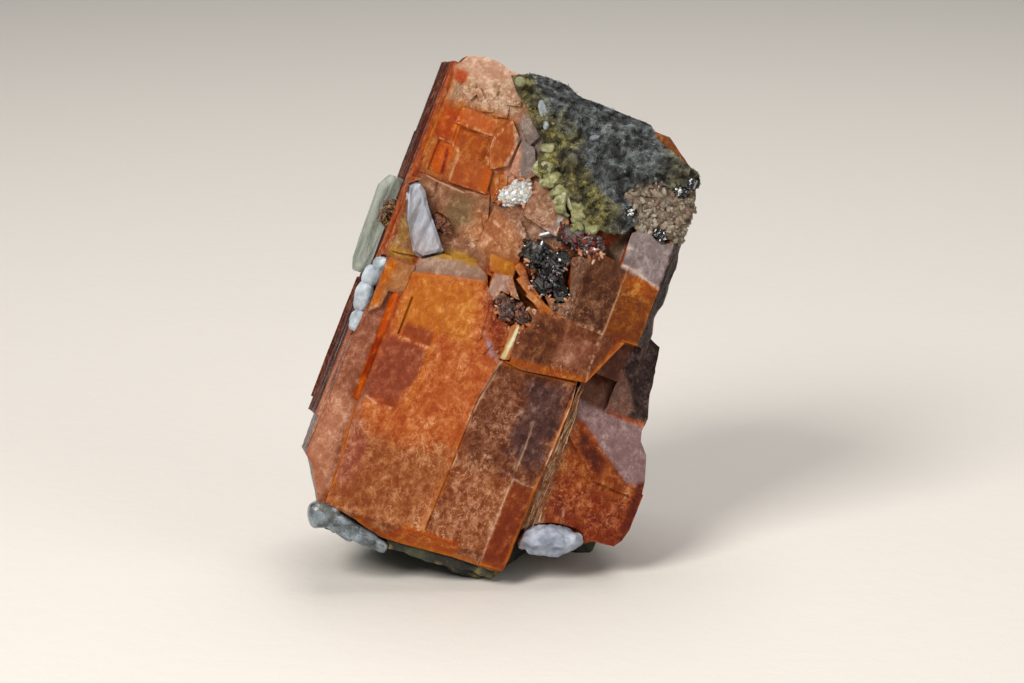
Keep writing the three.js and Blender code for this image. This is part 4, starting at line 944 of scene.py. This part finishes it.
sugar = mineral("white_sugar_finish", 0.35, 3.0, 0.1, 0.03, 1.5, **{
    "Subsurface Weight": 0.3, "Subsurface Scale": 0.0006})
cluster("white_sugar", "white_patch", sugar, 0.3, "#B9AEA6", 130, ((0.14, 0.36), 0.7, 0.55), GRAIN, 6,
        ["#C4C2C4", "#E2E2E6", "#C9B2A0"], 180, 0.25)

# %% [markdown]
# The white minerals are chalky or pearly and a little see-through, so some subsurface scattering takes the hardness
# out of their shading. The blades keep fine striations along their length.

# %% White pieces
def white_piece(node_name, side_length, fill, codes, bumps, size, seed, stretch=(1, 1, 1), face=9.0):
    """A refined copy with low bumps, and colours mixed from dark to light by noise stretched along the crystal."""
    points, triangles, _ = fine_copy(node_name, side_length, fill, bumps, size, seed, face)
    share = np.clip(0.5 + 0.7 * rough(points * stretch, 1.2, 4, seed + 5), 0, 1)[:, None]
    tint = linear(codes[0]) * (1 - share) + linear(codes[1]) * share
    return points, triangles, tint


white = mineral("chalky_white", 0.5, 1.6, 0.14, 0.05, 1.5, **{
    "Subsurface Weight": 0.25, "Subsurface Scale": 0.0008, "Subsurface Radius": (1.0, 0.95, 0.9)})
blade = white_piece("natrolite_centre", 0.2, 0.32, ("#6E6C70", "#B6BCCB"), 0.03, (0.25, 3.5, 0.8), 200, (3, 0.4, 1),
                    face=-1.8)
lower = np.clip((29.5 - blade[0][:, 1]) / 3, 0, 1)[:, None] * 0.35
blade_tint = blade[2] * (1 - lower) + linear("#9C7458") * lower
make_piece("white_blade_centre", blade[0], blade[1], white, ["natrolite_centre"], 30, {"tint": blade_tint})
blade = white_piece("natrolite_left", 0.3, 0.2, ("#727A70", "#A2AAA2"), 0.06, (0.4, 4, 0.4), 210, (2, 0.4, 2))
make_piece("white_blade_left", blade[0], blade[1], white, ["natrolite_left"], 40, {"tint": blade[2]})
BEADS = [((-22.4, 24.3, -1.8), (0.85, 0.95, 0.9), 20), ((-22.9, 23.1, -2.0), (0.9, 1.15, 1.0), -10),
         ((-22.8, 20.9, -2.1), (0.95, 1.5, 1.0), 5), ((-22.65, 18.5, -2.3), (0.75, 1.2, 0.9), -4)]
bead_parts = []
for k, (spot, half, turn) in enumerate(BEADS):
    shape = lump(spot, half, turn, 0.16, 1.0, 220 + k, (40, 26), 0.8)
    share = np.clip(0.5 + 0.7 * rough(shape[0], 0.8, 3, 226), 0, 1)[:, None]
    bead_parts.append((*shape, linear("#87929C") * (1 - share) + linear("#C0CBD6") * share))
points, faces, tint = joined(bead_parts)
make_piece("white_bead_row", points, faces, white, ["white_beads"], 60, {"tint": tint})
points, faces, tint = white_piece("white_pebble", 0.18, 0.0, ("#6E788A", "#B0B8C8"), 0.24, 1.0, 230)
points = points + normals_of(points, faces) * (0.08 * rough(points, 0.45, 2, 236))[:, None]
# The pebble's left end, next to the slab, is painted darker brown: partly a brownish tone and partly a painted shadow
# of the overhanging slab.
brown_and_shadow_end = np.clip((1.0 - points[:, 0]) / 1.2, 0, 1)[:, None] * 0.8
pebble_tint = tint * (1 - brown_and_shadow_end) + linear("#6A5048") * brown_and_shadow_end
make_piece("white_pebble_lump", points, faces, white, ["white_pebble"], 60, {"tint": pebble_tint})

glassy = mineral("glassy_grey", 0.25, 1.4, 0.3, 0.05, 1.5, **{
    "Subsurface Weight": 0.2, "Subsurface Scale": 0.0012, "Coat Weight": 0.3, "Coat Roughness": 0.1})
corner_parts = []
for k, (spot, half, turn) in enumerate([
    ((-18.7, -0.5, -2.6), (1.7, 1.35, 2.5), 25), ((-16.8, -0.9, -2.7), (1.8, 1.1, 2.4), -14),
    ((-14.6, -1.2, -3.0), (1.6, 0.85, 2.2), -8), ((-12.8, -1.5, -3.2), (1.1, 0.6, 1.6), -12),
]):
    shape = lump(spot, half, turn, 0.13, 1.2, 240 + k, (48, 30), 0.5)
    share = np.clip(0.5 + 0.8 * rough(shape[0], 0.9, 4, 250), 0, 1)[:, None]
    tint = linear("#434E56") * (1 - share) + linear("#95A2AB") * share
    stain = np.clip((rough(shape[0], 0.7, 4, 252) - 0.35) / 0.15, 0, 1)[:, None] * 0.8
    corner_parts.append((*shape, tint * (1 - stain) + linear("#3A3A2A") * stain))
points, faces, tint = joined(corner_parts)
make_piece("glassy_corner", points, faces, glassy, ["white_corner"], 50, {"tint": tint})

# %% [markdown]
# Clear splinters, amber rubble and fibres lie on the crystal. The splinters' heights are given in their table, and
# under the rubble and the fibres the crystal's height is looked up.

# %% Splinters, rubble, the shard and the black flakes
def height_at(uv, reach=0.3):
    """The highest outward-facing point of the serandite within reach of each place, in mm."""
    facing = (body_normals[:, 2] > 0.2) & (body_points[:, 2] > -5)
    near = body_points[facing]
    heights = [near[np.abs(near[:, :2] - spot).max(axis=1) < reach, 2] for spot in uv]
    return np.array([h.max() if len(h) else -2.0 for h in heights])


# Clear splinters stand between the clusters: flat four-sided prisms. Each row: place, lean, half length, half width.
SPLINTERS = np.array([
    [-7.3, 34.3, -1.3, 0.2, 1, 0.25, 1.0, 0.42], [-6.9, 33.5, -1.2, -0.3, 1, 0.3, 0.7, 0.35],
    [-8.4, 33.0, -1.3, 0.8, 0.6, 0.2, 0.6, 0.4],
    [-5.0, 35.2, -0.7, -0.2, -1, 0.4, 0.7, 0.3], [-12.0, 37.2, -1.5, 0.6, 1, 0.3, 0.5, 0.25],
    [-10.9, 32.6, -1.5, 1, 0.5, 0.3, 0.5, 0.22], [-13.0, 33.6, -1.6, 1, -0.3, 0.2, 0.4, 0.25],
])
shape, faces, each = prisms(SPLINTERS[:, :3], SPLINTERS[:, 3:6], SPLINTERS[:, 6], SPLINTERS[:, 7], 0.16, BLADE, 4, 270)
clear_white = mineral("clear_splinter", 0.2, 2.0, 0.2, 0.02, 1.52, **{
    "Subsurface Weight": 0.3, "Subsurface Scale": 0.0008})
make_piece("clear_splinters", shape, faces, clear_white, (), 20,
           {"tint": np.repeat(shades(len(SPLINTERS), ["#A6A8A2", "#C0C4C4", "#B09C90"], 271), each, axis=0)})
# Amber rubble fills the joints around the clusters.
rubble_parts = []
for number, (node_name, count) in enumerate((("black_cluster", 70), ("brown_cluster", 40), ("red_cluster", 40),
                                             ("white_patch", 26), ("yellow_shard", 12))):
    points, triangles, out = fine_copy(node_name, 0.3, 0.25, 0.0, 1, 0)
    edge = np.flatnonzero(np.abs(out[:, 2]) < 0.6)
    rng = np.random.default_rng(290 + number)
    chosen = rng.choice(edge, count)
    spots = points[chosen] + unit(out[chosen] * [1, 1, 0]) * rng.uniform(0.0, 0.35, (count, 1))
    spots[:, 2] = height_at(spots[:, :2], 0.5) - 0.1
    lean = rng.normal(size=(count, 3)) * [1, 1, 0.3]
    size = rng.uniform(0.14, 0.42, count)
    shape, faces, each = prisms(spots, lean, size, size * 0.6, size * 0.5, GRAIN, 5, 291 + number)
    codes = ["#B4703C", "#9C5220", "#C8A080", "#7A3A18", "#B89484"]
    rubble_parts.append((shape, faces, np.repeat(shades(count, codes, 292 + number), each, axis=0)))
# Pale fibres along the joint between the slab and the crystal on its right.
rng = np.random.default_rng(299)
FIBRES = 110
v = rng.uniform(5.2, 19.6, FIBRES)
u = 0.25 + rng.uniform(0, 1, FIBRES) ** 1.5 * np.interp(v, [5, 12, 20], [1.3, 1.0, 0.5])
spots = np.stack([u, v, height_at(np.stack([u, v], 1), 0.25) - 0.02], 1)
lean = np.stack([rng.normal(0.0, 0.08, FIBRES), np.ones(FIBRES), rng.normal(0, 0.05, FIBRES)], 1)
shape, faces, each = prisms(spots, lean, rng.uniform(0.3, 1.1, FIBRES), 0.07, 0.06, NEEDLE, 4, 300)
rubble_parts.append((shape, faces, np.repeat(
    shades(FIBRES, ["#C8A070", "#A8662C", "#D8C4A4", "#8A4A1C"], 301), each, axis=0)))
points, faces, tint = joined(rubble_parts)
chips = mineral("serandite_chips", 0.3, 2.4, 0.3, 0.03, 1.67, **{"Specular IOR Level": 0.3})
make_piece("amber_rubble", points, faces, chips, (), 25, {"tint": tint})
points, faces, tint = white_piece("yellow_shard", 0.15, 0.22, ("#A8A264", "#D8D4B0"), 0.05, 0.4, 250, (2, 0.5, 1))
# Only its ridge is pale: towards both sides the orange crystal shows through.
beside = np.clip(distance_to_line(points[:, :2], [(-8.15, 20.2), (-7.75, 23.6)]) / 0.16 - 0.7, 0, 1)[:, None]
make_piece("yellow_shard_blade", points, faces, white, ["yellow_shard"], 35,
           {"tint": tint + beside * (linear("#A05A20") - tint)})
for number in range(1, 5):
    points, triangles, _ = fine_copy(f"black_flake_{number}", 0.2, 0.05, 0.09, 0.45, number)
    shade = np.clip(0.5 + rough(points, 0.4, 2, 280 + number), 0, 1)[:, None]
    make_piece(f"black_blade_{number}", points, triangles, black, [f"black_flake_{number}"], 25,
               {"tint": linear("#08090B") * (1 - shade) + linear("#1A2028") * shade})

# %% [markdown]
# The ground that the crystals grew from is a dark, rough, green-black rock. Its flat underside stays flat, because the
# specimen rests on it.

# %% Matrix
points, triangles, out = fine_copy("base_matrix", 0.45, 0.1, 0.0, 1, 0)
points = points + out * (0.3 * rough(points, 1.7, 4, 260))[:, None]
room = to_room(points)
room[:, 2] = np.maximum(room[:, 2], 0)
points = to_crystal(room)
share = np.clip(0.45 + 0.8 * rough(points, 2.2, 4, 261), 0, 1)[:, None]
matrix_tint = linear("#14160F") * (1 - share) + linear("#45482F") * share
spots = np.clip((rough(points, 1.3, 3, 262) - 0.55) / 0.2, 0, 1)[:, None]
matrix_tint = matrix_tint * (1 - spots) + linear("#8A7A40") * spots
rock = mineral("green_black_matrix", 0.7, 1.6, 0.4, 0.2, 1.6)
make_piece("matrix_rock", points, triangles, rock, ["base_matrix"], 40, {"tint": matrix_tint})

# %% [markdown]
# The specimen stands on a plain pale floor. A large soft light from the upper left shapes it, a weaker one fills
# from the right, and the camera looks down by 15 degrees from where its long lens frames the specimen.

# %% Floor, lights and camera
def soft_light(name, place, aim, width, watts, colour):
    lamp = bpy.data.lights.new(name, "AREA")
    lamp.shape = "RECTANGLE"
    lamp.size = lamp.size_y = width
    lamp.energy = watts
    lamp.color = tuple(linear(colour))
    holder = bpy.data.objects.new(name, lamp)
    holder.location = place
    away = np.array(place) - np.array(aim)
    holder.rotation_euler = (math.acos(away[2] / np.linalg.norm(away)), 0, math.atan2(away[1], away[0]) + math.pi / 2)
    bpy.context.scene.collection.objects.link(holder)


floor_finish = new_material("pale_floor")
floor_place = add(floor_finish, "TexCoord").outputs["Object"]
finish_surface(floor_finish, "#D8D6D2", 0.6, pattern(floor_finish, floor_place, 400), 0.02)
HALF_FLOOR = 1.2
corners = [(HALF_FLOOR * x, HALF_FLOOR * y, 0) for x, y in ((-1, -1), (1, -1), (1, 1), (-1, 1))]
floor_mesh = bpy.data.meshes.new("floor")
floor_mesh.from_pydata(corners, [], [(0, 1, 2, 3)])
floor_mesh.materials.append(floor_finish)
floor = bpy.data.objects.new("floor", floor_mesh)
bpy.context.scene.collection.objects.link(floor)

AIM = (0.0, 0.0, 0.025)
soft_light("key_light", (-0.24, -0.30, 0.34), AIM, 0.2, 2.75, "#FFF8F0")
soft_light("fill_light", (0.34, -0.26, 0.16), AIM, 0.25, 0.7, "#FFF8F0")
soft_light("top_light", (0.05, 0.16, 0.42), AIM, 0.3, 1.2, "#FFFAF4")
world = bpy.data.worlds.new("studio")
world.use_nodes = True
world.node_tree.nodes["Background"].inputs["Color"].default_value = (1.0, 0.97, 0.94, 1)
world.node_tree.nodes["Background"].inputs["Strength"].default_value = 0.14
bpy.context.scene.world = world
bpy.context.scene.view_settings.view_transform = "Standard"

ELEVATION = LEAN_BACK
IMAGE_CENTRE = (0.65, 23.3)
CAMERA_DISTANCE = 341.3
target = np.array([IMAGE_CENTRE[0], IMAGE_CENTRE[1] * math.sin(ELEVATION), IMAGE_CENTRE[1] * math.cos(ELEVATION)])
target = target + SET_DOWN
towards = np.array([0, -math.cos(ELEVATION), math.sin(ELEVATION)])
lens = bpy.data.cameras.new("camera")
lens.lens = 120
lens.sensor_width = 36
lens.clip_start = 0.01
lens.clip_end = 10
camera = bpy.data.objects.new("camera", lens)
camera.location = (target + CAMERA_DISTANCE * towards) * MM
camera.rotation_euler = (math.pi / 2 - ELEVATION, 0, 0)
bpy.context.scene.collection.objects.link(camera)
bpy.context.scene.camera = camera
